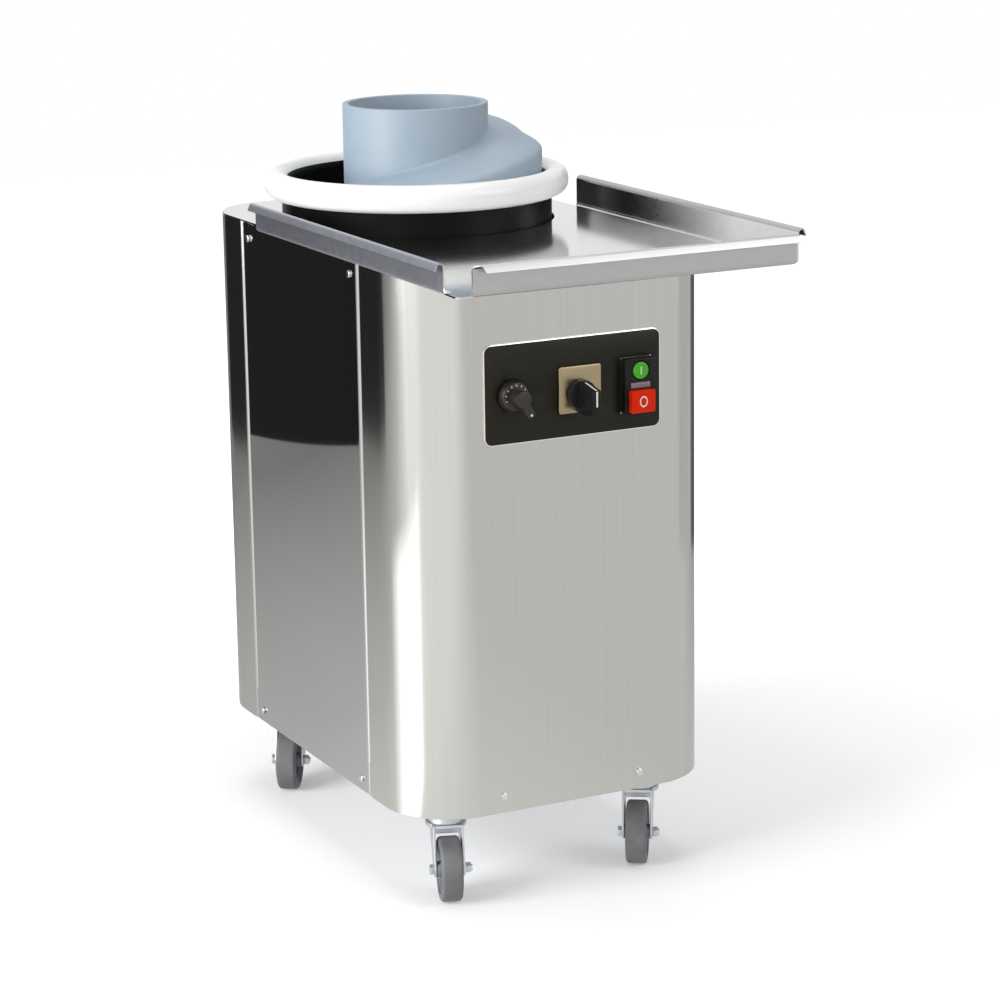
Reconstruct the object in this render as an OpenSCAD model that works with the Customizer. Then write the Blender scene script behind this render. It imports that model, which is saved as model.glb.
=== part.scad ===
// Auger dough rounder: a sheet steel cabinet on casters with a turning drum, a fixed lift-out auger,
// a tray for the finished dough balls and a control plate on the front.
// Millimetres, Z up, front at -Y, origin on the floor under the middle of the overall outline.

/* [Cabinet] */
// Width of the cabinet
body_w = 400; // [380:1:440]
// Depth of the cabinet
body_d = 600; // [590:1:640]
// Height of the cabinet panels
body_h = 635.5; // [620:0.5:700]
// Radius of the four upright corners
corner_r = 84; // [60:1:95]
// Thickness of the panel sheet
sheet = 1.5; // [1:0.1:2]
// Width of the flat cover in each side
cover_w = 342; // [330:1:350]
// Gap round each side cover
seam = 1.2; // [0.6:0.1:2]
// Height of the cabinet underside above the floor
caster_h = 112; // [110:0.5:130]

/* [Tray] */
// How far the tray reaches past the cabinet front
tray_reach = 146.6; // [120:0.1:170]
// How far each side lip stands out past the cabinet side
tray_side = 11.8; // [8:0.1:16]
// Thickness of the tray sheet
tray_sheet = 2; // [1.5:0.1:2.5]
// Height of the lips above the tray floor
lip_h = 30.3; // [24:0.1:40]
// How far the lips reach below the tray floor
lip_foot = 4.7; // [3:0.1:6]
// Width of the hem turned out at the top of the lips
hem_w = 12; // [8:0.5:16]
// Depth of the edge turned down from the hem
hem_drop = 9; // [6:0.5:12]
// Length of the left lip behind the middle of the cabinet
left_lip_back = 96; // [60:1:110]
// Length of the right lip behind the middle of the cabinet
right_lip_back = 68; // [60:1:110]
// Gap between the left lip and the tray front
left_lip_gap = 28; // [20:1:40]
// Gap between the front lip and the tray left side
front_lip_gap = 18; // [15:1:30]

/* [Drum] */
// Sideways place of the drum axis from the middle of the cabinet
drum_x = -12; // [-16:1:4]
// Place of the drum axis behind the middle of the cabinet
drum_y = 65; // [55:1:75]
// Room between the drum and the side cover next to it
drum_room = 24; // [22:1:28]
// Wall of the drum
drum_wall = 7; // [5:0.5:8]
// Depth of the drum below the tray floor
drum_depth = 190; // [170:1:200]
// Thickness of the drum floor
drum_floor = 12; // [8:1:16]
// Clearance of the drum in the tray hole
drum_gap = 3; // [2:0.5:5]
// Radial width of the rim ring
ring_w = 29; // [26:0.5:32]
// Height of the rim ring
ring_h = 33; // [30:0.5:36]
// Height of the rim ring above the tray floor
ring_lift = 30.5; // [26:0.5:36]
// How far the rim ring reaches inside the drum wall
ring_inside = 1.5; // [1:0.1:2]

/* [Auger] */
// Width of the dough channel between the hopper tube and the flight edge
channel_w = 65; // [60:1:68]
// Wall of the hopper tube
tube_wall = 7.5; // [6:0.5:10]
// Height of the hopper tube above the tray floor
tube_h = 141.3; // [130:0.1:155]
// Clearance of the flight inside the rim ring
flight_gap = 2.5; // [2:0.1:4]
// Rise of the flight for each turn
flight_pitch = 142; // [130:1:150]
// Angle at which the flight ends at the top
flight_end = 70; // [60:1:76]
// Height of the flight end below the tube mouth
flight_end_drop = 4.5; // [3:0.5:10]
// How far the flight end bends down from its even rise
flight_dip = 7; // [4:0.5:8]
// Clearance between the auger and the drum floor
auger_gap = 4; // [3:0.5:6]
// Thickness of the auger foot
foot_h = 20; // [18:1:24]
// Height of the dough window in the foot of the tube
window_h = 92; // [70:1:100]

/* [Drive] */
// Radius of the fixed post inside the bearings
post_r = 20; // [18:0.5:22]
// Outside radius of the bearings
bearing_r = 40; // [38:0.5:44]
// Width of each bearing
bearing_w = 18; // [15:1:20]
// Running clearance between the post and the bearings
run_fit = 0.05; // [0.02:0.01:0.1]
// Radius of the drum pulley
pulley_r = 95; // [85:1:100]
// Radius of the motor pulley
motor_pulley_r = 32; // [26:1:36]
// Width of the belt and the pulley faces
belt_w = 24; // [18:1:28]
// Thickness of the belt
belt_t = 4; // [3:0.5:5]
// Distance between the drum axis and the motor axis
drive_centres = 150; // [146:1:156]
// Radius of the motor housing
motor_r = 58; // [50:1:62]
// Length of the motor housing
motor_h = 190; // [150:1:220]

/* [Controls] */
// Width of the control plate
plate_w = 222; // [215:1:240]
// Height of the control plate
plate_h = 110; // [105:1:125]
// Corner radius of the control plate
plate_r = 11; // [6:0.5:14]
// Sideways place of the control plate
plate_x = 4.7; // [-4:0.1:8]
// Distance of the control plate centre below the tray floor
plate_drop = 146.5; // [140:0.5:165]
// Radius of the speed knob skirt
knob_r = 18.5; // [16:0.5:20]
// Side of the square selector plate
selector_w = 54; // [48:1:56]
// Width of the push button frame
button_w = 40; // [38:0.5:42]
// Height of the push button frame
button_h = 64; // [60:0.5:68]

/* [Casters] */
// Radius of the caster wheels
wheel_r = 38; // [36:0.5:40]
// Width of the caster tyres
wheel_w = 25; // [22:0.5:27]
// Distance of each swivel axis from the side of the cabinet
caster_side = 71; // [68:1:80]
// Distance of each swivel axis from the front or back of the cabinet
caster_end = 73; // [65:1:85]
// Distance of the wheel axle behind the swivel axis
trail = 28; // [24:0.5:32]

/* [Hidden] */
$fn = 96;
// Overrun of every cut
cut = 1;
// Small clearance between pieces that are fitted together
fit = 0.2;
// Clear gap between pieces that move past each other
clear = 0.5;

// Heights of the main levels
body_z = caster_h;
floor_z = body_z + body_h + tray_sheet;
drum_z = floor_z - drum_depth;
ring_z = floor_z + ring_lift;
tube_z = drum_z + drum_floor + auger_gap;
plate_z = floor_z - plate_drop;
tube_top = floor_z + tube_h;

// The overall outline is centred on the origin: the tray hem is its front and the cable gland its back
gland_out = 20;
front_end = body_d / 2 + tray_reach + hem_w;
back_end = body_d / 2 + gland_out;
centre_y = (front_end - back_end) / 2;

// Sheet metal details
inner_w = body_w - 2 * sheet;
inner_d = body_d - 2 * sheet;
inner_r = corner_r - sheet;
joggle_w = 34;
joggle_bend = 4;
screw_head_r = 4.2;
screw_head_h = 2.6;
screw_r = 2;
screw_len = 7;
screw_in = 21;
screw_top = 19;
screw_foot = 15.5;
front_screw_x = 89;
front_screw_z = 20;

// Base pan, corner posts and deck
pan_t = 2;
pan_in = pan_t + fit;
pan_rim = 40;
post_w = 30;
post_t = 3;
post_in = 5;
post_y = 165;
deck_t = 6;
deck_drop = 83;
deck_z = drum_z - deck_drop - deck_t;
deck_y = post_y - post_w / 2;

// Vent slots and cable gland in the rear panel
vent_w = 74;
vent_slot = 5;
vent_step = 14;
vent_rows = 8;
vent_x = 62;
vent_z = 250;
gland_in = 100;
gland_x = body_w / 2 - gland_in;
gland_z = 58;
gland_r = 11;
gland_bore = 5;
gland_flange_r = 14;
gland_flange_h = 5;
gland_nut_h = 6;

// Drum, hub and bearings
drum_r = body_w / 2 - abs(drum_x) - drum_room;
hub_r = 52;
hub_flange_r = 72;
hub_flange_h = 8;
hub_gap = 8;
hub_lip = 3;
seal_gap = 1;
post_flange_r = 54;
post_flange_h = 12;
hub_z = deck_z + deck_t + post_flange_h + hub_gap;
key_w = 24;
key_h = 13;
bolt_r = 4;
bolt_head_r = 6.5;
bolt_head_h = 5;
pulley_lift = 3;
belt_gap = 0.4;
groove = 2.4;
groove_count = 6;
groove_pitch = belt_w / (groove_count + 1);

// Motor
motor_plate_w = 124;
motor_plate_t = 8;
motor_fin = 6;
motor_fin_t = 2.4;
motor_fins = 28;
motor_cowl_h = 44;
motor_shaft_r = 9.5;
terminal_w = 66;
terminal_h = 62;
terminal_d = 34;
motor_slot = 6;

// Speed controller on the base pan
inverter_w = 92;
inverter_d = 120;
inverter_h = 168;
inverter_x = 70;
inverter_room = 4;
inverter_fin = 3;
inverter_fins = 9;
inverter_fin_step = 10;
inverter_fin_h = 18;

// Control plate pieces
plate_t = 2;
film_t = 0.4;
plate_border = 2.6;
knob_in = 33.3;
knob_x = knob_in - plate_w / 2;
knob_z = -1.5;
skirt_h = 9;
skirt_taper = 2.5;
grip_h = 17;
grip_r = 9.5;
nose_w = 10;
nose_len = 21.5;
nose_drop = 4;
knob_angle = -60;
pot_r = 12;
pot_h = 18;
pot_neck_r = 4.8;
pot_shaft_r = 3;
pot_nut_r = 8;
pot_nut_h = 2.4;
selector_off = 6.8;
selector_x = plate_x + selector_off;
selector_z = -8.5;
selector_rise = 6;
selector_t = 4;
selector_r = 3;
dial_r = 17;
dial_h = 8;
handle_h = 37.5;
handle_top = 17.5;
handle_w = 10;
handle_d = 39;
handle_slope = 7;
cam_w = 46;
cam_h = 62;
cam_neck_r = 9;
cam_shaft_r = 4;
button_in = 30.2;
button_x = plate_x + plate_w / 2 - button_in;
button_z = -5.5;
button_d = 12;
button_r = 3;
bezel_t = 2;
start_r = 11;
start_z = 18;
start_out = 1.2;
start_travel = 4;
stop_w = 31;
stop_h = 26;
stop_z = -17;
stop_out = 7;
stop_travel = 4;
lens_w = 25;
lens_h = 6.5;
lens_z = 1;
lens_t = 1;
block_w = 34;
block_h = 58;
block_d = 42;
stem_r = 4;

// Casters
caster_x = body_w / 2 - caster_side;
caster_y = body_d / 2 - caster_end;
crown_r = 24;
crown_z = 89;
crown_t = 5;
race_h = 6.5;
fork_t = 3;
fork_gap = 2.6;
fork_end_r = 9;
swivel_r = 21;
swivel_gap = 0.4;
kingpin_r = 6;
head_plate_w = 74;
head_plate_t = 4;
head_bolt = 54;
axle_r = 4;
axle_head_r = 6.5;
axle_head_h = 5;
axle_nut_h = 6.5;
tyre_t = 9;
tyre_round = 4;
hub_side = 1.6;
hub_boss_r = 9;
hub_web = 9;
caster_yaws = [19, 33, 33, 26];
caster_sides = [[-1, -1], [1, -1], [-1, 1], [1, 1]];

// Shared shapes

module rounded(w, d, r) {
    square([w - 2 * r, d], center = true);
    square([w, d - 2 * r], center = true);
    for (sx = [-1, 1])
        for (sy = [-1, 1])
            translate([sx * (w / 2 - r), sy * (d / 2 - r)])
                circle(r);
}

// Everything is drawn round the middle of the cabinet and then moved to the common origin
module place() {
    translate([0, centre_y, 0])
        children();
}

module at_drum() {
    place()
        translate([drum_x, drum_y, 0])
            children();
}

module at_motor() {
    at_drum()
        translate([0, -drive_centres, 0])
            children();
}

// Turns a flat outline up on the cabinet front, drawn as seen from the front and pushed out towards -Y
module on_front(depth) {
    translate([0, -body_d / 2, 0])
        rotate([90, 0, 0])
            linear_extrude(depth)
                children();
}

module behind_front(start, depth) {
    translate([0, -body_d / 2 + start + depth, 0])
        rotate([90, 0, 0])
            linear_extrude(depth)
                children();
}

module at_plate(x, z) {
    place()
        translate([plate_x + x, 0, plate_z + z])
            children();
}

module caster_square(index) {
    side = caster_sides[index];
    place()
        translate([side[0] * caster_x, side[1] * caster_y, 0])
            children();
}

module caster(index) {
    caster_square(index)
        rotate(-caster_yaws[index])
            children();
}

module head_holes(r, depth) {
    for (sx = [-1, 1])
        for (sy = [-1, 1])
            translate([sx * head_bolt / 2, sy * head_bolt / 2, 0])
                cylinder(r = r, h = depth);
}

module pan_screw(r_head, h_head, r_shank, length) {
    cylinder(r = r_head, h = h_head);
    translate([0, 0, -length])
        cylinder(r = r_shank, h = length);
}

// Cabinet

module base_pan() {
    color("silver")
        place()
            difference() {
                translate([0, 0, body_z])
                    difference() {
                        linear_extrude(pan_rim)
                            rounded(inner_w - 2 * fit, inner_d - 2 * fit, inner_r - fit);
                        translate([0, 0, pan_t])
                            linear_extrude(pan_rim)
                                rounded(inner_w - 2 * pan_in, inner_d - 2 * pan_in, inner_r - pan_in);
                    }
                for (side = caster_sides)
                    translate([side[0] * caster_x, side[1] * caster_y, body_z - cut])
                        head_holes(bolt_r + fit, pan_t + 2 * cut);
                for (sy = [-1, 1])
                    wrap_screws(sy)
                        translate([0, 0, -screw_len])
                            cylinder(r = screw_r + fit, h = screw_len);
                screw_rows()
                    translate([0, 0, -screw_len])
                        cylinder(r = screw_r + fit, h = screw_len);
            }
}

module corner_posts() {
    color("silver")
        place()
            for (sx = [-1, 1])
                for (sy = [-1, 1])
                    translate([sx * (inner_w / 2 - sheet - post_in - post_w / 2), sy * post_y, body_z + pan_t])
                        scale([sx, sy, 1])
                            linear_extrude(body_h - pan_t)
                                difference() {
                                    square(post_w, center = true);
                                    translate([-post_w / 2 - cut, -post_w / 2 - cut])
                                        square(post_w - post_t + cut);
                                }
}

module deck_plate() {
    color("silver")
        place()
            difference() {
                translate([0, 0, deck_z])
                    linear_extrude(deck_t)
                        square([inner_w - 2 * sheet - 2 * post_in, 2 * deck_y], center = true);
                translate([drum_x, drum_y, deck_z - cut])
                    for (angle = [45 : 90 : 315])
                        rotate(angle)
                            translate([post_flange_r - bolt_head_r - fit, 0, 0])
                                cylinder(r = bolt_r + fit, h = deck_t + 2 * cut);
                translate([drum_x, drum_y - drive_centres, 0]) {
                    translate([0, 0, deck_z - cut])
                        cylinder(r = motor_shaft_r + motor_slot, h = deck_t + 2 * cut);
                    motor_corners()
                        cylinder(r = bolt_r + fit, h = motor_plate_t + deck_t + cut);
                }
            }
}

// Half of the cabinet skin: the front or rear wall with its two rounded corners and the stepped edges
// that the side covers screw down on
module wrap() {
    linear_extrude(body_h)
        difference() {
            rounded(body_w, body_d, corner_r);
            rounded(inner_w, inner_d, inner_r);
            translate([-body_w / 2 - cut, -cover_w / 2])
                square([body_w + 2 * cut, body_d]);
        }
    for (sx = [-1, 1])
        scale([sx, 1, 1])
            translate([body_w / 2 - 2 * sheet - fit, -cover_w / 2 - joggle_bend, pan_rim + fit]) {
                cube([sheet, joggle_w + joggle_bend, body_h - pan_rim - fit]);
                cube([2 * sheet + fit, joggle_bend, body_h - pan_rim - fit]);
            }
}

module screw_rows() {
    for (sx = [-1, 1])
        for (sy = [-1, 1])
            for (z = [screw_foot, body_h - screw_top])
                translate([sx * body_w / 2, sy * (cover_w / 2 - screw_in), body_z + z])
                    rotate([0, sx * 90, 0])
                        children();
}

module wrap_screws(sy) {
    for (sx = [-1, 1])
        translate([sx * front_screw_x, sy * body_d / 2, body_z + front_screw_z])
            rotate([-sy * 90, 0, 0])
                children();
}

module front_panel() {
    color("gainsboro")
        place()
            difference() {
                translate([0, 0, body_z])
                    wrap();
                screw_rows()
                    translate([0, 0, -2 * sheet - cut])
                        cylinder(r = screw_r + fit, h = 3 * sheet + cut);
                wrap_screws(-1)
                    translate([0, 0, -sheet - cut])
                        cylinder(r = screw_r + fit, h = sheet + 2 * cut);
                translate([plate_x, -body_d / 2 - cut, plate_z]) {
                    translate([knob_x, 0, knob_z])
                        rotate([-90, 0, 0])
                            cylinder(r = pot_neck_r + fit, h = sheet + 2 * cut);
                    translate([selector_x - plate_x, 0, selector_z])
                        rotate([-90, 0, 0])
                            cylinder(r = cam_neck_r + fit, h = sheet + 2 * cut);
                }
                translate([button_x, -body_d / 2, plate_z + button_z])
                    cube([block_w - 2 * bezel_t, 2 * (sheet + cut), block_h - 2 * bezel_t], center = true);
            }
}

module rear_panel() {
    color("gainsboro")
        place()
            difference() {
                translate([0, 0, body_z])
                    scale([1, -1, 1])
                        wrap();
                screw_rows()
                    translate([0, 0, -2 * sheet - cut])
                        cylinder(r = screw_r + fit, h = 3 * sheet + cut);
                wrap_screws(1)
                    translate([0, 0, -sheet - cut])
                        cylinder(r = screw_r + fit, h = sheet + 2 * cut);
                for (sx = [-1, 1])
                    for (row = [0 : vent_rows - 1])
                        translate([sx * vent_x, body_d / 2 + cut, body_z + vent_z + row * vent_step])
                            rotate([90, 0, 0])
                                linear_extrude(sheet + 2 * cut)
                                    rounded(vent_w, vent_slot, vent_slot / 2 - fit);
                translate([gland_x, body_d / 2 + cut, body_z + gland_z])
                    rotate([90, 0, 0])
                        cylinder(r = gland_r + fit, h = sheet + 2 * cut);
            }
}

// Flat side cover that lies on the stepped edges
module side_cover(sx) {
    width = cover_w - 2 * seam;
    height = body_h - 2 * seam;
    place()
        difference() {
            translate([0, 0, body_z + seam])
                scale([sx, 1, 1])
                    translate([body_w / 2 - sheet, -width / 2, 0])
                        cube([sheet, width, height]);
            screw_rows()
                translate([0, 0, -2 * sheet])
                    cylinder(r = screw_r + fit, h = 3 * sheet);
        }
}

module left_cover() {
    color("dimgray")
        side_cover(-1);
}

module right_cover() {
    color("dimgray")
        side_cover(1);
}

module cover_screws() {
    color("white")
        place()
            screw_rows()
                pan_screw(screw_head_r, screw_head_h, screw_r, screw_len);
}

module panel_screws() {
    color("white")
        place() {
            wrap_screws(-1)
                pan_screw(screw_head_r, screw_head_h, screw_r, screw_len);
            wrap_screws(1)
                pan_screw(screw_head_r, screw_head_h, screw_r, screw_len);
        }
}

// Cross-section of a lip, drawn with its inner face on the Y axis and its foot at the floor line
module lip_section() {
    translate([0, -lip_foot])
        square([tray_sheet, lip_foot + lip_h]);
    translate([0, lip_h - tray_sheet])
        square([hem_w + tray_sheet, tray_sheet]);
    translate([hem_w, lip_h - hem_drop])
        square([tray_sheet, hem_drop]);
}

// Lip that runs along Y, its hem towards +X, with the hem ends cut at an angle
module lip(length) {
    difference() {
        rotate([90, 0, 0])
            translate([0, 0, -length])
                linear_extrude(length)
                    lip_section();
        for (end = [0, 1])
            translate([tray_sheet, end * length, 0])
                scale([1, 1 - 2 * end, 1])
                    translate([0, 0, lip_h - hem_drop - cut])
                        linear_extrude(hem_drop + 2 * cut)
                            polygon([[0, 0], [hem_w + cut, hem_w + cut], [hem_w + cut, -cut], [0, -cut]]);
    }
}

module top_tray() {
    lip_x = body_w / 2 + tray_side - tray_sheet;
    front_y = -body_d / 2 - tray_reach;
    color("lightgray")
        place()
            translate([0, 0, floor_z]) {
                difference() {
                    translate([0, 0, -tray_sheet])
                        linear_extrude(tray_sheet) {
                            rounded(body_w, body_d, corner_r);
                            translate([-lip_x, front_y])
                                square([2 * lip_x, -front_y - body_d / 2 + corner_r]);
                            translate([-lip_x, front_y])
                                square([lip_x, left_lip_back - front_y]);
                            translate([0, front_y])
                                square([lip_x, right_lip_back - front_y]);
                        }
                    translate([drum_x, drum_y, -tray_sheet - cut])
                        cylinder(r = drum_r + drum_gap, h = tray_sheet + 2 * cut);
                }
                translate([lip_x, front_y, 0])
                    lip(right_lip_back - front_y);
                scale([-1, 1, 1])
                    translate([lip_x, front_y + left_lip_gap, 0])
                        lip(left_lip_back - front_y - left_lip_gap);
                translate([-lip_x + front_lip_gap, front_y + tray_sheet, 0])
                    rotate(-90)
                        lip(2 * lip_x + tray_sheet - front_lip_gap);
            }
}

module cable_gland() {
    color("dimgray")
        place()
            translate([gland_x, body_d / 2, body_z + gland_z])
                rotate([-90, 0, 0])
                    difference() {
                        union() {
                            cylinder(r = gland_flange_r, h = gland_flange_h, $fn = 6);
                            cylinder(r = gland_r, h = gland_out);
                            translate([0, 0, -sheet - gland_nut_h])
                                cylinder(r = gland_r, h = sheet + gland_nut_h);
                            translate([0, 0, -sheet - gland_nut_h])
                                cylinder(r = gland_flange_r, h = gland_nut_h, $fn = 6);
                        }
                        translate([0, 0, -sheet - gland_nut_h - cut])
                            cylinder(r = gland_bore, h = gland_out + sheet + gland_nut_h + 2 * cut);
                    }
}

// Drum and what turns with it

module drum() {
    rim_z = ring_z + ring_h / 2;
    color("black")
        at_drum()
            difference() {
                translate([0, 0, drum_z])
                    cylinder(r = drum_r, h = rim_z - drum_z);
                translate([0, 0, drum_z + drum_floor])
                    cylinder(r = drum_r - drum_wall, h = rim_z - drum_z);
                translate([0, 0, drum_z - cut])
                    cylinder(r = post_r + seal_gap, h = drum_floor + 2 * cut);
            }
}

module rim_ring() {
    inner = drum_r - drum_wall - ring_inside;
    side = ring_w / 2;
    color("white")
        at_drum()
            translate([0, 0, ring_z])
                difference() {
                    rotate_extrude()
                        translate([inner + side, 0]) {
                            translate([0, side])
                                circle(side);
                            translate([0, ring_h - side])
                                circle(side);
                            translate([-side, side])
                                square([ring_w, ring_h - ring_w]);
                        }
                    translate([0, 0, -cut])
                        difference() {
                            cylinder(r = drum_r + fit, h = ring_h / 2 + cut);
                            cylinder(r = drum_r - drum_wall - fit, h = ring_h / 2 + cut);
                        }
                }
}

module drum_hub() {
    top = drum_z;
    color("silver")
        at_drum()
            difference() {
                union() {
                    translate([0, 0, hub_z])
                        cylinder(r = hub_r, h = top - hub_z);
                    translate([0, 0, top - hub_flange_h])
                        cylinder(r = hub_flange_r, h = hub_flange_h);
                }
                translate([0, 0, hub_z - cut])
                    cylinder(r = bearing_r, h = top - hub_z - hub_lip + cut);
                translate([0, 0, hub_z])
                    cylinder(r = post_r + seal_gap, h = top - hub_z + cut);
            }
}

module ring_bearing(z) {
    at_drum()
        translate([0, 0, z])
            difference() {
                cylinder(r = bearing_r, h = bearing_w);
                translate([0, 0, -cut])
                    cylinder(r = post_r + run_fit, h = bearing_w + 2 * cut);
                for (face = [0, bearing_w])
                    translate([0, 0, face])
                        rotate_extrude()
                            translate([(post_r + bearing_r) / 2, 0])
                                square([(bearing_r - post_r) / 2, hub_lip / 2], center = true);
            }
}

module upper_bearing() {
    color("lightgray")
        ring_bearing(drum_z - hub_lip - bearing_w);
}

module lower_bearing() {
    color("lightgray")
        ring_bearing(hub_z);
}

// Pulley rim with V grooves round its face
module grooved(r, bore) {
    rotate_extrude()
        difference() {
            translate([bore, 0])
                square([r - bore, belt_w]);
            for (i = [1 : groove_count])
                translate([r, i * groove_pitch])
                    polygon([[0, -groove_pitch / 2], [-groove, 0], [0, groove_pitch / 2]]);
        }
}

module drum_pulley() {
    color("gray")
        at_drum()
            translate([0, 0, hub_z + pulley_lift])
                grooved(pulley_r, hub_r);
}

// Auger: the hopper tube with the helical flight that carries the dough up and out over the rim ring

flight_r = drum_r - drum_wall - ring_inside - flight_gap;
flight_reach = channel_w;
tube_r = flight_r - channel_w;
// Outline of the flight as shares of its reach, outwards, and of its reach, upwards
flight_shares = [
    [0, 0.06], [0.03, 0.016], [0.11, -0.015], [0.34, -0.06], [0.57, -0.115], [0.77, -0.16],
    [0.89, -0.197], [0.97, -0.245], [1, -0.31], [1, -0.7], [0.954, -0.75], [0.5, -0.64], [0, -0.5]
];
flight_depth_share = 0.8;
flight_low = tube_z + flight_depth_share * flight_reach;
flight_high = tube_top - flight_end_drop + flight_dip;
flight_turn = (flight_high - flight_low) / flight_pitch * 360;
flight_step = 6;
flight_count = ceil(flight_turn / flight_step);
// The flight is welded on with its flat-sided inner edge just outside the tube
flight_seat = 0.02;
flight_inner = (tube_r + flight_seat) / cos(flight_turn / flight_count / 2);
foot_runout = 47;
end_runout = 60;
runout_least_share = 0.25;
// Shoulder where the dough leaves: its place before the end, its turn and the reach that is left
shoulder_lead = 100;
shoulder_turn = 18;
shoulder_share = 0.71;

function held(value) = min(1, max(0, value));

function drawn_in(end) = runout_least_share + (1 - runout_least_share) * sqrt(1 - end * end);

function shoulder(step) = 1 - (1 - shoulder_share) * step * step * (3 - 2 * step);

// How much of the full reach the flight has at an angle before its end
function flight_width(before) =
    drawn_in(held(1 - (flight_turn - before) / foot_runout)) * drawn_in(held(1 - before / end_runout))
    * shoulder(held((shoulder_lead - before) / shoulder_turn));

function flight_ring(i) =
    let (
        share = i / flight_count,
        before = flight_turn * (1 - share),
        angle = flight_end - before,
        dip = flight_dip * held(1 - before / end_runout),
        z = flight_low + (flight_high - flight_low) * share - dip,
        width = flight_width(before)
    )
    [for (p = flight_shares)
        let (r = flight_inner + (flight_r - flight_inner) * p[0] * width)
        [r * cos(angle), r * sin(angle), z + flight_reach * p[1] * (p[1] < 0 ? width : 1)]];

module flight() {
    n = len(flight_shares);
    points = [for (i = [0 : flight_count]) each flight_ring(i)];
    last = flight_count * n;
    faces = concat(
        [[for (j = [0 : n - 1]) j]],
        [for (i = [0 : flight_count - 1])
            for (j = [0 : n - 1])
                let (a = i * n + j, b = i * n + (j + 1) % n)
                each [[a, b + n, b], [a, a + n, b + n]]],
        [[for (j = [n - 1 : -1 : 0]) last + j]]
    );
    polyhedron(points = points, faces = faces, convexity = 8);
}

window_turn = 110;
window_far = tube_r + flight_reach;
window_sill = 2;
window_lead = 20;
window_angle = flight_end - flight_turn - window_lead - window_turn;

module auger_tube() {
    color("lightsteelblue")
        at_drum()
            difference() {
                translate([0, 0, tube_z])
                    cylinder(r = tube_r, h = tube_top - tube_z);
                translate([0, 0, tube_z + foot_h])
                    cylinder(r = tube_r - tube_wall, h = tube_top - tube_z);
                translate([0, 0, tube_z - cut])
                    linear_extrude(key_h + cut)
                        square(key_w + 2 * clear, center = true);
                rotate(window_angle)
                    translate([0, 0, tube_z + foot_h + window_sill])
                        linear_extrude(window_h)
                            polygon([
                                [0, 0], [window_far, 0],
                                [window_far * cos(window_turn / 2), window_far * sin(window_turn / 2)] * sqrt(2),
                                [window_far * cos(window_turn), window_far * sin(window_turn)]
                            ]);
            }
}

module auger_flight() {
    color("lightsteelblue")
        at_drum()
            flight();
}

// Fixed post that carries the drum on its bearings and holds the auger still on its square end
module auger_post() {
    base_z = deck_z + deck_t;
    color("gray")
        at_drum()
            difference() {
                union() {
                    translate([0, 0, base_z])
                        cylinder(r = post_flange_r, h = post_flange_h);
                    translate([0, 0, base_z])
                        cylinder(r = post_r, h = drum_z + drum_floor - base_z);
                    translate([0, 0, drum_z + drum_floor])
                        linear_extrude(auger_gap + key_h)
                            square(key_w, center = true);
                }
                for (angle = [45 : 90 : 315])
                    rotate(angle)
                        translate([post_flange_r - bolt_head_r - fit, 0, base_z - cut])
                            cylinder(r = bolt_r + fit, h = post_flange_h + 2 * cut);
            }
}

module post_bolts() {
    color("silver")
        at_drum()
            for (angle = [45 : 90 : 315])
                rotate(angle)
                    translate([post_flange_r - bolt_head_r - fit, 0, deck_z]) {
                        cylinder(r = bolt_r, h = deck_t + post_flange_h);
                        translate([0, 0, -bolt_head_h])
                            cylinder(r = bolt_head_r, h = bolt_head_h, $fn = 6);
                    }
}

// Motor and belt

module motor_corners() {
    reach = motor_plate_w / 2 - 2 * bolt_head_r;
    for (sx = [-1, 1])
        for (sy = [-1, 1])
            translate([sx * reach, sy * reach, deck_z - motor_plate_t])
                children();
}

module motor_plate() {
    color("gray")
        at_motor()
            difference() {
                translate([0, 0, deck_z - motor_plate_t])
                    linear_extrude(motor_plate_t)
                        rounded(motor_plate_w, motor_plate_w, plate_r);
                translate([0, 0, deck_z - motor_plate_t - cut])
                    cylinder(r = motor_shaft_r + motor_slot, h = motor_plate_t + 2 * cut);
                motor_corners()
                    translate([0, 0, -cut])
                        cylinder(r = bolt_r + fit, h = motor_plate_t + 2 * cut);
            }
}

module motor_bolts() {
    color("silver")
        at_motor()
            motor_corners() {
                cylinder(r = bolt_r, h = motor_plate_t + deck_t);
                translate([0, 0, motor_plate_t + deck_t])
                    cylinder(r = bolt_head_r, h = bolt_head_h, $fn = 6);
            }
}

module motor_housing() {
    top = deck_z - motor_plate_t;
    color("slategray")
        at_motor()
            difference() {
                union() {
                    translate([0, 0, top - motor_h])
                        cylinder(r = motor_r - motor_fin, h = motor_h);
                    for (i = [0 : motor_fins - 1])
                        rotate(i * 360 / motor_fins)
                            translate([0, -motor_fin_t / 2, top - motor_h])
                                cube([motor_r, motor_fin_t, motor_h - motor_cowl_h]);
                    translate([0, -motor_r - terminal_d / 2, top - motor_h / 2])
                        cube([terminal_w, terminal_d + 2 * motor_fin, terminal_h], center = true);
                }
                translate([0, 0, top - motor_cowl_h])
                    cylinder(r = motor_shaft_r + clear, h = motor_cowl_h + cut);
            }
}

module motor_cowl() {
    top = deck_z - motor_plate_t - motor_h;
    color("slategray")
        at_motor()
            difference() {
                translate([0, 0, top - motor_cowl_h])
                    cylinder(r = motor_r - motor_fin / 2, h = motor_cowl_h);
                translate([0, 0, top - motor_cowl_h + tray_sheet])
                    cylinder(r = motor_r - motor_fin / 2 - tray_sheet, h = motor_cowl_h - 2 * tray_sheet);
                for (i = [0 : vent_rows - 1])
                    rotate(i * 360 / vent_rows)
                        translate([motor_r / 2, 0, top - motor_cowl_h - cut])
                            linear_extrude(tray_sheet + 2 * cut)
                                rounded(motor_r / 2, vent_slot, vent_slot / 2 - fit);
            }
}

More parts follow.
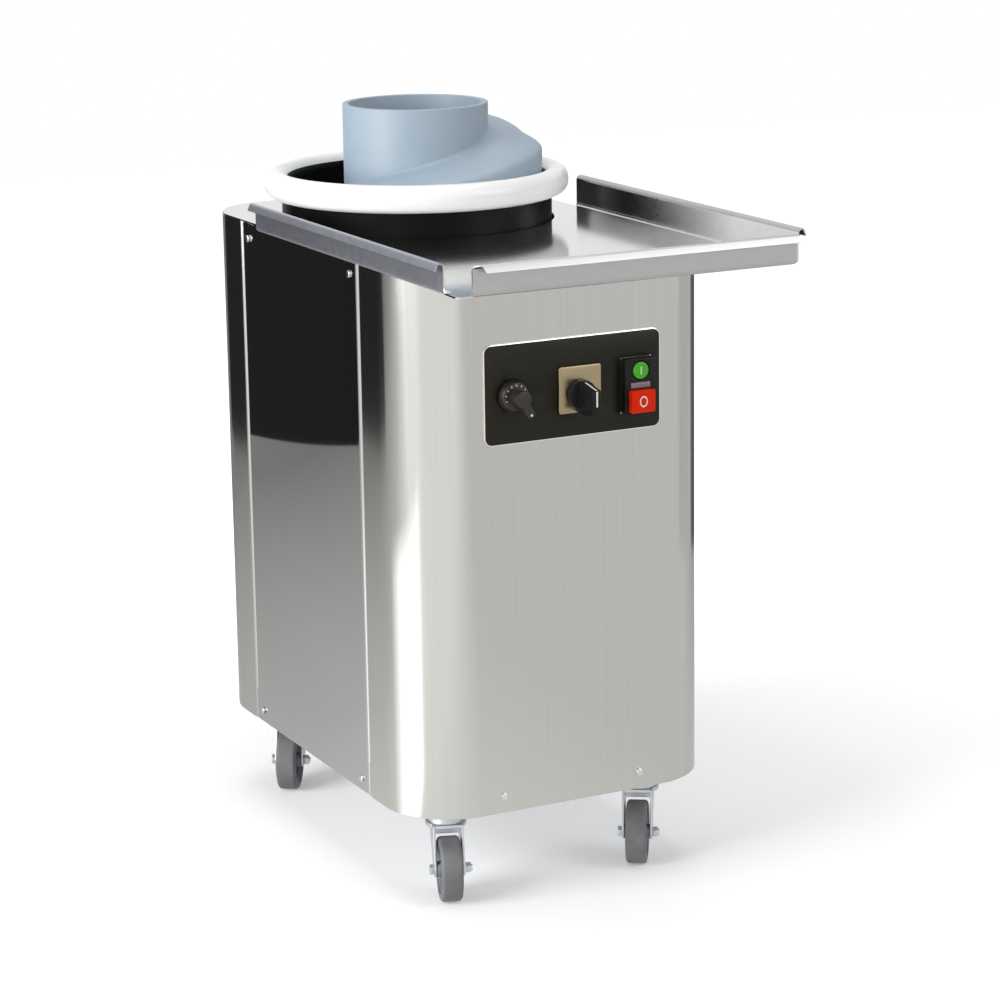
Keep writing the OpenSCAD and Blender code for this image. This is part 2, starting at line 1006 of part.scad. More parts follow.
module motor_shaft() {
    bottom = deck_z - motor_plate_t - motor_cowl_h + clear;
    top = hub_z + pulley_lift + belt_w;
    color("lightgray")
        at_motor()
            translate([0, 0, bottom])
                cylinder(r = motor_shaft_r, h = top - bottom);
}

module motor_pulley() {
    color("gray")
        at_motor()
            translate([0, 0, hub_z + pulley_lift])
                grooved(motor_pulley_r, motor_shaft_r + run_fit);
}

// Outline of the belt run round both pulleys, grown by a distance
belt_steps = 40;
belt_lean = asin((pulley_r - motor_pulley_r) / drive_centres);

function bend_points(r, y, start, turn) =
    [for (i = [0 : belt_steps])
        let (angle = start + turn * i / belt_steps)
        [r * cos(angle), y + r * sin(angle)]];

function belt_points(grow) = concat(
    bend_points(pulley_r + grow, 0, -belt_lean, 180 + 2 * belt_lean),
    bend_points(motor_pulley_r + grow, -drive_centres, 180 + belt_lean, 180 - 2 * belt_lean)
);

module drive_belt() {
    color("black")
        at_drum()
            translate([0, 0, hub_z + pulley_lift])
                linear_extrude(belt_w)
                    difference() {
                        polygon(belt_points(belt_gap + belt_t));
                        polygon(belt_points(belt_gap));
                    }
}

// The controller stands in front of the bolts of the rear caster
module speed_controller() {
    bolts = caster_y - head_bolt / 2 - bolt_head_r;
    case_d = inverter_d - inverter_fin_h;
    color("dimgray")
        place()
            translate([inverter_x, bolts - inverter_room - inverter_fin_h - case_d / 2, body_z + pan_t]) {
                linear_extrude(inverter_h)
                    rounded(inverter_w, case_d, button_r);
                for (i = [0 : inverter_fins - 1])
                    translate([(i - (inverter_fins - 1) / 2) * inverter_fin_step, case_d / 2, inverter_h / 2])
                        cube([inverter_fin, 2 * inverter_fin_h, inverter_h], center = true);
            }
}

// Controls

module control_plate() {
    color("silver")
        place()
            difference() {
                translate([plate_x, 0, plate_z])
                    on_front(plate_t)
                        difference() {
                            rounded(plate_w, plate_h, plate_r);
                            translate([knob_x, knob_z])
                                circle(pot_neck_r + fit);
                            translate([selector_x - plate_x, selector_z])
                                circle(cam_neck_r + fit);
                        }
                translate([button_x, -body_d / 2, plate_z + button_z])
                    cube([block_w - 2 * bezel_t, 2 * (plate_t + cut), block_h - 2 * bezel_t], center = true);
            }
}

module control_film() {
    color("black")
        place()
            difference() {
                translate([plate_x, -plate_t, plate_z])
                    on_front(film_t)
                        difference() {
                            rounded(plate_w - 2 * plate_border, plate_h - 2 * plate_border, plate_r - plate_border);
                            translate([knob_x, knob_z])
                                circle(pot_nut_r + fit);
                            translate([selector_x - plate_x, selector_z])
                                circle(cam_neck_r + fit);
                        }
                translate([button_x, -body_d / 2, plate_z + button_z])
                    cube([button_w + 2 * fit, 2 * (plate_t + film_t + cut), button_h + 2 * fit], center = true);
            }
}

module speed_knob() {
    front = plate_t + pot_nut_h + clear;
    color("dimgray")
        at_plate(knob_x, knob_z)
            translate([0, -body_d / 2 - front, 0])
                rotate([90, 0, 0])
                    difference() {
                        union() {
                            cylinder(r1 = knob_r, r2 = knob_r - skirt_taper, h = skirt_h);
                            cylinder(r = grip_r, h = skirt_h + grip_h);
                            rotate(knob_angle)
                                translate([0, 0, skirt_h - nose_drop])
                                    linear_extrude(grip_h) {
                                        translate([0, -nose_w / 2])
                                            square([nose_len - nose_w / 2, nose_w]);
                                        translate([nose_len - nose_w / 2, 0])
                                            circle(nose_w / 2);
                                    }
                        }
                        translate([0, 0, -cut])
                            cylinder(r = pot_shaft_r + run_fit, h = skirt_h + cut);
                    }
}

module potentiometer() {
    front = plate_t + pot_nut_h;
    color("gray")
        at_plate(knob_x, knob_z)
            translate([0, -body_d / 2, 0])
                rotate([90, 0, 0]) {
                    translate([0, 0, -sheet - pot_h])
                        cylinder(r = pot_r, h = pot_h);
                    translate([0, 0, -sheet])
                        cylinder(r = pot_neck_r, h = sheet + front);
                    translate([0, 0, plate_t])
                        cylinder(r = pot_nut_r, h = pot_nut_h, $fn = 6);
                    translate([0, 0, front])
                        cylinder(r = pot_shaft_r, h = skirt_h);
                }
}

module selector_plate() {
    color("tan")
        place()
            translate([selector_x, -plate_t - film_t, plate_z + selector_z])
                on_front(selector_t)
                    difference() {
                        translate([0, selector_rise])
                            rounded(selector_w, selector_w, selector_r);
                        circle(cam_neck_r + fit);
                    }
}

module selector_handle() {
    front = plate_t + film_t + selector_t + clear;
    color("black")
        place()
            translate([selector_x, -body_d / 2 - front, plate_z + selector_z])
                difference() {
                    union() {
                        rotate([90, 0, 0])
                            cylinder(r = dial_r, h = dial_h);
                        rotate([0, 0, 180])
                            rotate([90, 0, 90])
                                translate([0, 0, -handle_w / 2])
                                    linear_extrude(handle_w)
                                        polygon([
                                            [0, handle_top - handle_h], [0, handle_top],
                                            [handle_d, handle_top - handle_slope], [handle_d, handle_top - handle_h]
                                        ]);
                    }
                    rotate([90, 0, 0])
                        translate([0, 0, -cut])
                            cylinder(r = cam_shaft_r + run_fit, h = dial_h + cut);
                }
}

module selector_switch() {
    front = plate_t + film_t + selector_t;
    color("dimgray")
        place()
            translate([selector_x, -body_d / 2, plate_z + selector_z])
                rotate([90, 0, 0]) {
                    translate([0, 0, -sheet - cam_h])
                        linear_extrude(cam_h)
                            rounded(cam_w, cam_w, selector_r);
                    translate([0, 0, -sheet])
                        cylinder(r = cam_neck_r, h = sheet + front);
                    translate([0, 0, front])
                        cylinder(r = cam_shaft_r, h = dial_h);
                }
}

// Frame of the start and stop buttons, with a well for each button and a slot for the lens
module button_frame() {
    color("black")
        place()
            translate([button_x, -plate_t, plate_z + button_z])
                difference() {
                    on_front(button_d)
                        rounded(button_w, button_h, button_r);
                    translate([0, -bezel_t, 0])
                        on_front(button_d)
                            translate([0, start_z])
                                circle(start_r + clear);
                    translate([0, -bezel_t, 0])
                        on_front(button_d)
                            translate([0, stop_z])
                                square([stop_w + 2 * clear, stop_h + 2 * clear], center = true);
                    translate([0, -button_d + lens_t, 0])
                        on_front(button_d)
                            translate([0, lens_z])
                                square([lens_w + 2 * fit, lens_h + 2 * fit], center = true);
                    for (z = [start_z, stop_z])
                        translate([0, bezel_t, 0])
                            on_front(button_d)
                                translate([0, z])
                                    circle(stem_r + clear);
                }
}

module pressed(z) {
    place()
        translate([button_x, -plate_t, plate_z + button_z + z])
            children();
}

module start_button() {
    color("limegreen")
        pressed(start_z) {
            translate([0, -bezel_t - start_travel - clear, 0])
                on_front(button_d - bezel_t - start_travel - clear + start_out)
                    circle(start_r);
            translate([0, start_travel + clear, 0])
                on_front(bezel_t + 2 * start_travel + 2 * clear)
                    circle(stem_r);
        }
}

module stop_button() {
    color("orangered")
        pressed(stop_z) {
            translate([0, -bezel_t - stop_travel - clear, 0])
                on_front(button_d - bezel_t - stop_travel - clear + stop_out)
                    rounded(stop_w, stop_h, bezel_t);
            translate([0, stop_travel + clear, 0])
                on_front(bezel_t + 2 * stop_travel + 2 * clear)
                    circle(stem_r);
        }
}

module pilot_lens() {
    color("lightgray")
        place()
            translate([button_x, -plate_t - button_d + lens_t, plate_z + button_z])
                on_front(lens_t)
                    translate([0, lens_z])
                        square([lens_w, lens_h], center = true);
}

module contact_block() {
    pocket = sheet + plate_t + start_travel + 2 * clear;
    color("dimgray")
        place()
            difference() {
                union() {
                    translate([button_x, 0, plate_z + button_z])
                        behind_front(sheet, block_d)
                            square([block_w, block_h], center = true);
                    translate([button_x, -plate_t, plate_z + button_z])
                        behind_front(0, plate_t + sheet)
                            square([block_w - 2 * bezel_t - 2 * fit, block_h - 2 * bezel_t - 2 * fit], center = true);
                }
                for (z = [start_z, stop_z])
                    translate([button_x, 2 * pocket - plate_t, plate_z + button_z])
                        on_front(2 * pocket + cut)
                            translate([0, z])
                                circle(stem_r + clear);
            }
}

// Casters

module caster_heads() {
    color("silver")
        for (index = [0 : 3])
            caster_square(index)
                difference() {
                    union() {
                        translate([0, 0, body_z - head_plate_t])
                            linear_extrude(head_plate_t)
                                rounded(head_plate_w, head_plate_w, bolt_head_r);
                        translate([0, 0, crown_z + race_h + swivel_gap])
                            cylinder(r = swivel_r, h = body_z - crown_z - race_h - swivel_gap - head_plate_t);
                        translate([0, 0, crown_z - crown_t - 2 * swivel_gap])
                            cylinder(r = kingpin_r, h = body_z - crown_z);
                        translate([0, 0, crown_z - crown_t - 2 * swivel_gap - fork_t])
                            cylinder(r = kingpin_r + fork_t, h = fork_t);
                    }
                    translate([0, 0, body_z - head_plate_t - cut])
                        head_holes(bolt_r + fit, head_plate_t + 2 * cut);
                }
}

module caster_bolts() {
    color("silver")
        for (index = [0 : 3])
            caster_square(index)
                for (sx = [-1, 1])
                    for (sy = [-1, 1])
                        translate([sx * head_bolt / 2, sy * head_bolt / 2, body_z - head_plate_t]) {
                            cylinder(r = bolt_r, h = head_plate_t + pan_t + bolt_head_h);
                            translate([0, 0, -bolt_head_h])
                                cylinder(r = bolt_head_r, h = bolt_head_h, $fn = 6);
                            translate([0, 0, head_plate_t + pan_t])
                                cylinder(r = bolt_head_r, h = bolt_head_h, $fn = 6);
                        }
}

fork_in = wheel_w / 2 + fork_gap;

// Side outline of a fork leg: broad under the crown and drawn in to a round end at the axle
module leg_outline() {
    difference() {
        union() {
            translate([-trail, wheel_r])
                circle(fork_end_r);
            polygon([
                [-trail - fork_end_r, wheel_r], [-crown_r, crown_z],
                [crown_r / 2, crown_z], [crown_r / 2, crown_z - 2 * crown_t],
                [-trail + fork_end_r * cos(30), wheel_r - fork_end_r * sin(30)], [-trail, wheel_r - fork_end_r]
            ]);
        }
        translate([-trail, wheel_r])
            circle(axle_r + run_fit);
    }
}

module fork(index) {
    color("silver")
        caster(index)
            difference() {
                union() {
                    translate([0, 0, crown_z - crown_t])
                        linear_extrude(crown_t) {
                            circle(crown_r);
                            translate([-fork_in - fork_t, -crown_r])
                                square([2 * (fork_in + fork_t), crown_r]);
                        }
                    translate([0, 0, crown_z])
                        cylinder(r = swivel_r, h = race_h);
                    for (sx = [-1, 1])
                        translate([sx > 0 ? fork_in : -fork_in - fork_t, 0, 0])
                            rotate([90, 0, 90])
                                linear_extrude(fork_t)
                                    leg_outline();
                }
                translate([0, 0, crown_z - crown_t - cut])
                    cylinder(r = kingpin_r + run_fit, h = crown_t + race_h + 2 * cut);
            }
}

module on_axle(index) {
    caster(index)
        translate([0, -trail, wheel_r])
            rotate([0, 90, 0])
                children();
}

module axle(index) {
    half = fork_in + fork_t;
    color("silver")
        on_axle(index) {
            translate([0, 0, -half])
                cylinder(r = axle_r, h = 2 * half + axle_nut_h + bezel_t);
            translate([0, 0, -half - axle_head_h])
                cylinder(r = axle_head_r, h = axle_head_h, $fn = 6);
            translate([0, 0, half])
                cylinder(r = axle_head_r, h = axle_nut_h, $fn = 6);
        }
}

// Wheel centre: a rim and a boss joined by a thinner web
module wheel(index) {
    rim = wheel_r - tyre_t;
    half = wheel_w / 2 - hub_side;
    color("gray")
        on_axle(index)
            rotate_extrude()
                polygon([
                    [axle_r + run_fit, -fork_in + clear], [hub_boss_r, -fork_in + clear],
                    [hub_boss_r + hub_side, -hub_web / 2], [rim - tyre_round, -hub_web / 2],
                    [rim - tyre_round + hub_side, -half], [rim, -half],
                    [rim, half], [rim - tyre_round + hub_side, half],
                    [rim - tyre_round, hub_web / 2], [hub_boss_r + hub_side, hub_web / 2],
                    [hub_boss_r, fork_in - clear], [axle_r + run_fit, fork_in - clear]
                ]);
}

module tyre(index) {
    rim = wheel_r - tyre_t;
    color("dimgray")
        on_axle(index)
            rotate_extrude() {
                translate([rim, -wheel_w / 2])
                    square([tyre_t - tyre_round, wheel_w]);
                translate([wheel_r - tyre_round, -wheel_w / 2 + tyre_round])
                    square([tyre_round, wheel_w - 2 * tyre_round]);
                for (side = [-1, 1])
                    translate([wheel_r - tyre_round, side * (wheel_w / 2 - tyre_round)])
                        circle(tyre_round);
            }
}

base_pan();
corner_posts();
deck_plate();
front_panel();
rear_panel();
left_cover();
right_cover();
cover_screws();
panel_screws();
top_tray();
cable_gland();
drum();
rim_ring();
drum_hub();
drum_pulley();
upper_bearing();
lower_bearing();
auger_tube();
auger_flight();
auger_post();
post_bolts();
motor_plate();
motor_bolts();
motor_housing();
motor_cowl();
motor_shaft();
motor_pulley();
drive_belt();
speed_controller();
control_plate();
control_film();
speed_knob();
potentiometer();
selector_plate();
selector_handle();
selector_switch();
button_frame();
start_button();
stop_button();
pilot_lens();
contact_block();
caster_heads();
caster_bolts();
fork(0);  // fork_fl
fork(1);  // fork_fr
fork(2);  // fork_rl
fork(3);  // fork_rr
axle(0);  // axle_fl
axle(1);  // axle_fr
axle(2);  // axle_rl
axle(3);  // axle_rr
wheel(0);  // wheel_fl
wheel(1);  // wheel_fr
wheel(2);  // wheel_rl
wheel(3);  // wheel_rr
tyre(0);  // tyre_fl
tyre(1);  // tyre_fr
tyre(2);  // tyre_rl
tyre(3);  // tyre_rr
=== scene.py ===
import math

import bpy
from mathutils import Matrix, Vector


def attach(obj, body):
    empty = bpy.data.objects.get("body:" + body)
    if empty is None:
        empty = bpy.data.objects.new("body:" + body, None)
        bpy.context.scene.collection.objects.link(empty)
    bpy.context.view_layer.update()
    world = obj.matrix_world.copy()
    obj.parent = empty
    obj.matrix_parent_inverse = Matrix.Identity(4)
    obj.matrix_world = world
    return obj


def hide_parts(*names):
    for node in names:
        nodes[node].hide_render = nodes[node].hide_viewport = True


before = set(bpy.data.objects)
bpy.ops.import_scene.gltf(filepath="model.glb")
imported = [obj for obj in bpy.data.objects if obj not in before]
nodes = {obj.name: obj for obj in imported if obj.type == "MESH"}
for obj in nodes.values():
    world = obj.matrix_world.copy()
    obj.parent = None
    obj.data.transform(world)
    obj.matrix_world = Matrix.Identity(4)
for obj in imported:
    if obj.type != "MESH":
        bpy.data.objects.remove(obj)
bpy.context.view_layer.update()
print("frame loaded,", len(nodes), "nodes")

midY = 0.0693  # middle of the cabinet, the overall outline is centred on the origin
floorTop = 0.7495  # tray floor
drumX = -0.012
drumY = 0.065 + midY
near = 1e-4  # places closer than this are the same
veryNear = 1e-5
mostly = 0.9  # a direction with more than this along an axis runs along it


# shader sums

class Wire:
    def __init__(self, finish, socket):
        self.finish = finish
        self.socket = socket

    def sum(self, operation, first, second):
        return self.finish.node("Math", {"operation": operation}, {0: first, 1: second})

    def __add__(self, other):
        return self.sum("ADD", self, other)

    def __radd__(self, other):
        return self.sum("ADD", other, self)

    def __sub__(self, other):
        return self.sum("SUBTRACT", self, other)

    def __rsub__(self, other):
        return self.sum("SUBTRACT", other, self)

    def __mul__(self, other):
        return self.sum("MULTIPLY", self, other)

    def __rmul__(self, other):
        return self.sum("MULTIPLY", other, self)


class Finish:
    def __init__(self, name, world=None):
        self.material = None if world else bpy.data.materials.new(name)
        holder = world or self.material
        holder.use_nodes = True
        self.tree = holder.node_tree
        self.tree.nodes.clear()
        self.output = self.tree.nodes.new("ShaderNodeOutputWorld" if world else "ShaderNodeOutputMaterial")

    def feed(self, socket, value):
        if isinstance(value, Wire):
            self.tree.links.new(value.socket, socket)
        elif isinstance(value, (tuple, list)) and len(value) == 3 and socket.type == "RGBA":
            socket.default_value = (*value, 1.0)
        else:
            socket.default_value = value

    # any node: its type, its settings, then the values or links of its sockets
    def node(self, kind, settings=None, inputs=None, out=0):
        made = self.tree.nodes.new("ShaderNode" + kind)
        for key, value in (settings or {}).items():
            setattr(made, key, value)
        for key, value in (inputs or {}).items():
            self.feed(made.inputs[key], value)
        return Wire(self, made.outputs[out])

    def show(self, wire):
        self.tree.links.new(wire.socket, self.output.inputs["Surface"])
        return self.material

    # a noise on the object's own coordinates, stretched by a scale for each axis
    def noise(self, stretch, detail=4.0, roughness=0.55):
        place = self.node("TexCoord", out="Object")
        mapped = self.node("Mapping", {}, {"Vector": place, "Scale": stretch})
        return self.node("TexNoise", {}, {"Vector": mapped, "Scale": 1.0, "Detail": detail,
                                          "Roughness": roughness})

    # moves the range of a value, by default the middle of a noise
    def spread(self, wire, low, high, fromLow=0.3, fromHigh=0.7):
        return self.node("MapRange", {}, {"Value": wire, "From Min": fromLow, "From Max": fromHigh,
                                          "To Min": low, "To Max": high})

    def blend(self, factor, first, second):
        return self.node("Mix", {"data_type": "RGBA"}, {"Factor": factor, 6: first, 7: second}, out=2)

    def bump(self, height, strength, distance):
        return self.node("Bump", {}, {"Height": height, "Strength": strength, "Distance": distance})

    def place(self, axis):
        return self.node("SeparateXYZ", {}, {0: self.node("TexCoord", out="Object")}, out=axis)

    # a colour between a darker and a lighter tone of its own
    def mottle(self, pattern, colour, darker, lighter):
        return self.blend(self.spread(pattern, 0.0, 1.0), tuple(c * darker for c in colour),
                          tuple(min(1, c * lighter) for c in colour))


# finishes

# coarser: the ends in Y of a change of finish along the sheet, and how much rougher it gets
def makeBrushed(name, colour, rough, grain, grainBump, coarser=None):
    finish = Finish(name)
    lines = finish.noise(grain, 6.0, 0.65)
    clouds = finish.noise((5.0, 5.0, 5.0), 3.0)
    tone = finish.mottle(lines, colour, 0.975, 1.02)
    roughness = finish.spread(lines, rough - 0.02, rough + 0.03) + finish.spread(clouds, -0.015, 0.02)
    if coarser:
        start, end, more = coarser
        roughness = finish.spread(finish.place("Y"), more, 0.0, start, end) + roughness
    shader = finish.node("BsdfPrincipled", {}, {
        "Base Color": tone, "Metallic": 1.0, "Roughness": roughness,
        "Normal": finish.bump(lines, grainBump, 0.0004)})
    return finish.show(shader)


def makePolished(name, colour, rough, wave):
    finish = Finish(name)
    clouds = finish.noise((4.0, 4.0, 3.0), 3.0)
    lines = finish.noise((500.0, 500.0, 12.0), 4.0)
    tone = finish.mottle(lines, colour, 0.98, 1.015)
    roughness = finish.spread(lines, rough - 0.01, rough + 0.015)
    shader = finish.node("BsdfPrincipled", {}, {
        "Base Color": tone, "Metallic": 1.0, "Roughness": roughness,
        "Normal": finish.bump(clouds, wave, 0.002)})
    return finish.show(shader)


def makeMoulded(name, colour, rough, grain=900.0, grainBump=0.15, coat=0.0, cloud=0.08, shine=0.5):
    finish = Finish(name)
    speck = finish.noise((grain, grain, grain), 3.0)
    clouds = finish.noise((30.0, 30.0, 30.0), 3.0)
    tone = finish.mottle(clouds, colour, 1.0 - cloud, 1.0 + cloud)
    roughness = finish.spread(clouds, rough - 0.04, rough + 0.05)
    shader = finish.node("BsdfPrincipled", {}, {
        "Base Color": tone, "Roughness": roughness, "Coat Weight": coat, "Coat Roughness": 0.12,
        "Specular IOR Level": shine, "Normal": finish.bump(speck, grainBump, 0.0002)})
    return finish.show(shader)


satinSteel = makeBrushed("satinSteel", (0.60, 0.59, 0.565), 0.13, (500.0, 500.0, 4.0), 0.02)
traySteel = makePolished("traySteel", (0.70, 0.70, 0.69), 0.11, 0.02)
lipSteel = makeBrushed("lipSteel", (0.49, 0.495, 0.495), 0.33, (90.0, 90.0, 90.0), 0.02)
hemSteel = makeBrushed("hemSteel", (0.45, 0.455, 0.447), 0.4, (90.0, 90.0, 90.0), 0.02)
# the tray steel again, darker and bluer: painted shade for the left lip's outside and hem
paintedShadeFlankSteel = makeBrushed("paintedShadeFlankSteel", (0.37, 0.38, 0.425), 0.45, (90.0, 90.0, 90.0), 0.02)
# near-black steel for the underside of the hems: painted shade standing for the shadow inside the fold
paintedHemShade = makeBrushed("paintedHemShade", (0.06, 0.06, 0.062), 0.5, (90.0, 90.0, 90.0), 0.02)
innerSteel = makeBrushed("innerSteel", (0.60, 0.60, 0.61), 0.12, (90.0, 90.0, 90.0), 0.02, (-0.25, 0.02, 0.5))
sideSteel = makePolished("sideSteel", (0.54, 0.54, 0.535), 0.03, 0.004)
zincSteel = makeBrushed("zincSteel", (0.58, 0.60, 0.63), 0.36, (60.0, 60.0, 60.0), 0.1)
screwSteel = makeBrushed("screwSteel", (0.72, 0.72, 0.71), 0.22, (400.0, 400.0, 400.0), 0.08)
drumCoat = makeMoulded("drumCoat", (0.004, 0.004, 0.0043), 0.4, 700.0, 0.15, shine=0.1)
ringGloss = makeMoulded("ringGloss", (0.95, 0.95, 0.95), 0.3, 500.0, 0.01, 0.3, 0.01)
augerCoat = makeMoulded("augerCoat", (0.335, 0.415, 0.49), 0.5, 420.0, 0.08, 0.0, 0.03)
castMetal = makeBrushed("castMetal", (0.62, 0.63, 0.64), 0.4, (120.0, 120.0, 120.0), 0.2)
motorPaint = makeMoulded("motorPaint", (0.16, 0.2, 0.24), 0.5, 300.0, 0.3)
beltRubber = makeMoulded("beltRubber", (0.02, 0.02, 0.02), 0.7, 500.0, 0.4)
plateEdge = makeBrushed("plateEdge", (0.86, 0.84, 0.78), 0.25, (40.0, 400.0, 40.0), 0.05)
filmBlack = makeMoulded("filmBlack", (0.014, 0.0125, 0.007), 0.34, 1200.0, 0.04, shine=0.2)
selectorMetal = makeBrushed("selectorMetal", (0.39, 0.315, 0.195), 0.26, (12.0, 500.0, 500.0), 0.1)
controlBlack = makeMoulded("controlBlack", (0.009, 0.009, 0.0095), 0.36, 900.0, 0.12, shine=0.2)
knobBlack = makeMoulded("knobBlack", (0.020, 0.017, 0.015), 0.3, 900.0, 0.1)
switchGrey = makeMoulded("switchGrey", (0.15, 0.15, 0.16), 0.5)
startGreen = makeMoulded("startGreen", (0.068, 0.42, 0.02), 0.38, 900.0, 0.06, 0.05, 0.03, 0.3)
stopRed = makeMoulded("stopRed", (0.88, 0.026, 0.002), 0.4, 900.0, 0.06, 0.0, 0.03, 0.1)
lensGrey = makeMoulded("lensGrey", (0.25, 0.19, 0.2), 0.3, 900.0, 0.05, 0.2)
markWhite = makeMoulded("markWhite", (0.88, 0.88, 0.87), 0.45, cloud=0.02)
markGreen = makeMoulded("markGreen", (0.45, 0.76, 0.4), 0.45, cloud=0.02)
wheelGrey = makeMoulded("wheelGrey", (0.2, 0.22, 0.26), 0.45)
tyreGrey = makeMoulded("tyreGrey", (0.18, 0.18, 0.185), 0.62, 500.0, 0.3, cloud=0.2)
print("finishes made")


# modelling helpers

def clear():
    if bpy.context.object and bpy.context.object.mode != "OBJECT":
        bpy.ops.object.mode_set(mode="OBJECT")
    bpy.ops.object.select_all(action="DESELECT")


# one object selected and active
def only(piece):
    clear()
    piece.select_set(True)
    bpy.context.view_layer.objects.active = piece


def settle(piece):
    only(piece)
    bpy.ops.object.transform_apply(location=True, rotation=True, scale=True)


def addBox(name, low, high):
    clear()
    middle = [(a + b) / 2 for a, b in zip(low, high)]
    bpy.ops.mesh.primitive_cube_add(size=1.0, location=middle, scale=[b - a for a, b in zip(low, high)])
    piece = bpy.context.object
    piece.name = name
    settle(piece)
    return piece


def addRound(name, middle, radius, depth, turn=(0.0, 0.0, 0.0), vertices=96):
    clear()
    bpy.ops.mesh.primitive_cylinder_add(vertices=vertices, radius=radius, depth=depth, location=middle,
                                        rotation=turn)
    piece = bpy.context.object
    piece.name = name
    settle(piece)
    return piece


# selects by place: faces by centre and normal, edges by middle and direction, corners by place
def pick(piece, kind, test):
    bpy.context.view_layer.objects.active = piece
    if piece.mode != "EDIT":
        bpy.ops.object.mode_set(mode="EDIT")
    bpy.ops.mesh.select_mode(type=kind)
    bpy.ops.mesh.select_all(action="DESELECT")
    bpy.ops.object.mode_set(mode="OBJECT")
    mesh = piece.data
    if kind == "FACE":
        for face in mesh.polygons:
            face.select = test(face.center, face.normal)
    elif kind == "EDGE":
        for edge in mesh.edges:
            a = mesh.vertices[edge.vertices[0]].co
            b = mesh.vertices[edge.vertices[1]].co
            edge.select = test((a + b) / 2, (b - a).normalized())
    else:
        for corner in mesh.vertices:
            corner.select = test(corner.co)
    bpy.ops.object.mode_set(mode="EDIT")


def pickAll(piece):
    pick(piece, "FACE", lambda middle, normal: True)


def bevelEdges(piece, test, width, segments):
    pick(piece, "EDGE", test)
    bpy.ops.mesh.bevel(offset=width, segments=segments, affect="EDGES", profile=0.5)
    bpy.ops.object.mode_set(mode="OBJECT")


def modify(piece, kind, **settings):
    only(piece)
    modifier = piece.modifiers.new(kind.title(), kind)
    for key, value in settings.items():
        setattr(modifier, key, value)
    bpy.ops.object.modifier_apply(modifier=modifier.name)


def roundEdges(piece, width, segments=2, angle=35):
    modify(piece, "BEVEL", width=width, segments=segments, limit_method="ANGLE",
           angle_limit=math.radians(angle), use_clamp_overlap=True)


def cutWith(piece, cutter, operation="DIFFERENCE"):
    modify(piece, "BOOLEAN", object=cutter, operation=operation, solver="EXACT")
    bpy.data.objects.remove(cutter, do_unlink=True)


def joinAll(name, pieces):
    clear()
    for piece in pieces:
        piece.select_set(True)
    bpy.context.view_layer.objects.active = pieces[0]
    bpy.ops.object.join()
    made = bpy.context.object
    made.name = name
    return made


# smooth shading, the finish, the body it rides on and the nodes it stands for; the slot name is not used
def dress(piece, material, body, slotName, *replaced, angle=35):
    only(piece)
    bpy.ops.object.shade_smooth_by_angle(angle=math.radians(angle))
    if material:
        piece.data.materials.clear()
        piece.data.materials.append(material)
    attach(piece, body)
    if replaced:
        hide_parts(*replaced)


# a CAD node again, merged, to be changed
def copyNode(nodeName, name):
    only(nodes[nodeName])
    bpy.ops.object.duplicate()
    piece = bpy.context.object
    piece.name = name
    piece.parent = None
    bpy.ops.mesh.customdata_custom_splitnormals_clear()
    bpy.ops.object.mode_set(mode="EDIT")
    bpy.ops.mesh.select_all(action="SELECT")
    bpy.ops.mesh.remove_doubles(threshold=1e-6)
    bpy.ops.mesh.dissolve_limited(angle_limit=math.radians(0.5))
    bpy.ops.object.mode_set(mode="OBJECT")
    return piece


def boxMiddle(piece):
    corners = [Vector(corner) for corner in piece.bound_box]
    return (corners[0] + corners[6]) / 2


# the CAD node again with its edges eased
def soften(nodeName, material, body, slotName, width, segments=2, resize=None):
    piece = copyNode(nodeName, nodeName + "_eased")
    if resize:
        pickAll(piece)
        bpy.ops.transform.resize(value=(resize[0], 1.0, resize[1]), center_override=boxMiddle(piece))
        bpy.ops.object.mode_set(mode="OBJECT")
    roundEdges(piece, width, segments)
    dress(piece, material, body, slotName, nodeName)


# camera

cameraPlace = {
    "place": (-1.60041, -3.30448 + midY, 1.30996),
    "azimuth": 26.7231,
    "pitch": 12.89014,
    "roll": -0.85179,
    "lens": 110.94133,
    "shiftX": 0.0,
    "shiftY": -0.05,
}


def makeCamera(c):
    az = math.radians(c["azimuth"])
    pitch = math.radians(c["pitch"])
    roll = math.radians(c["roll"])
    forward = Vector((math.sin(az) * math.cos(pitch), math.cos(az) * math.cos(pitch), -math.sin(pitch)))
    right = Vector((math.cos(az), -math.sin(az), 0.0))
    up = right.cross(forward)
    across = right * math.cos(roll) + up * math.sin(roll)
    above = up * math.cos(roll) - right * math.sin(roll)
    turn = Matrix((across, above, -forward)).transposed().to_4x4()
    clear()
    bpy.ops.object.camera_add()
    camera = bpy.context.object
    camera.name = "photoCamera"
    camera.matrix_world = Matrix.Translation(c["place"]) @ turn
    camera.data.sensor_width = 36.0
    camera.data.lens = c["lens"]
    camera.data.shift_x = c["shiftX"]
    camera.data.shift_y = c["shiftY"]
    camera.data.clip_end = 60.0
    bpy.context.scene.camera = camera


makeCamera(cameraPlace)
print("camera set")


# a finish for every CAD node, also for those that a dressed piece stands for

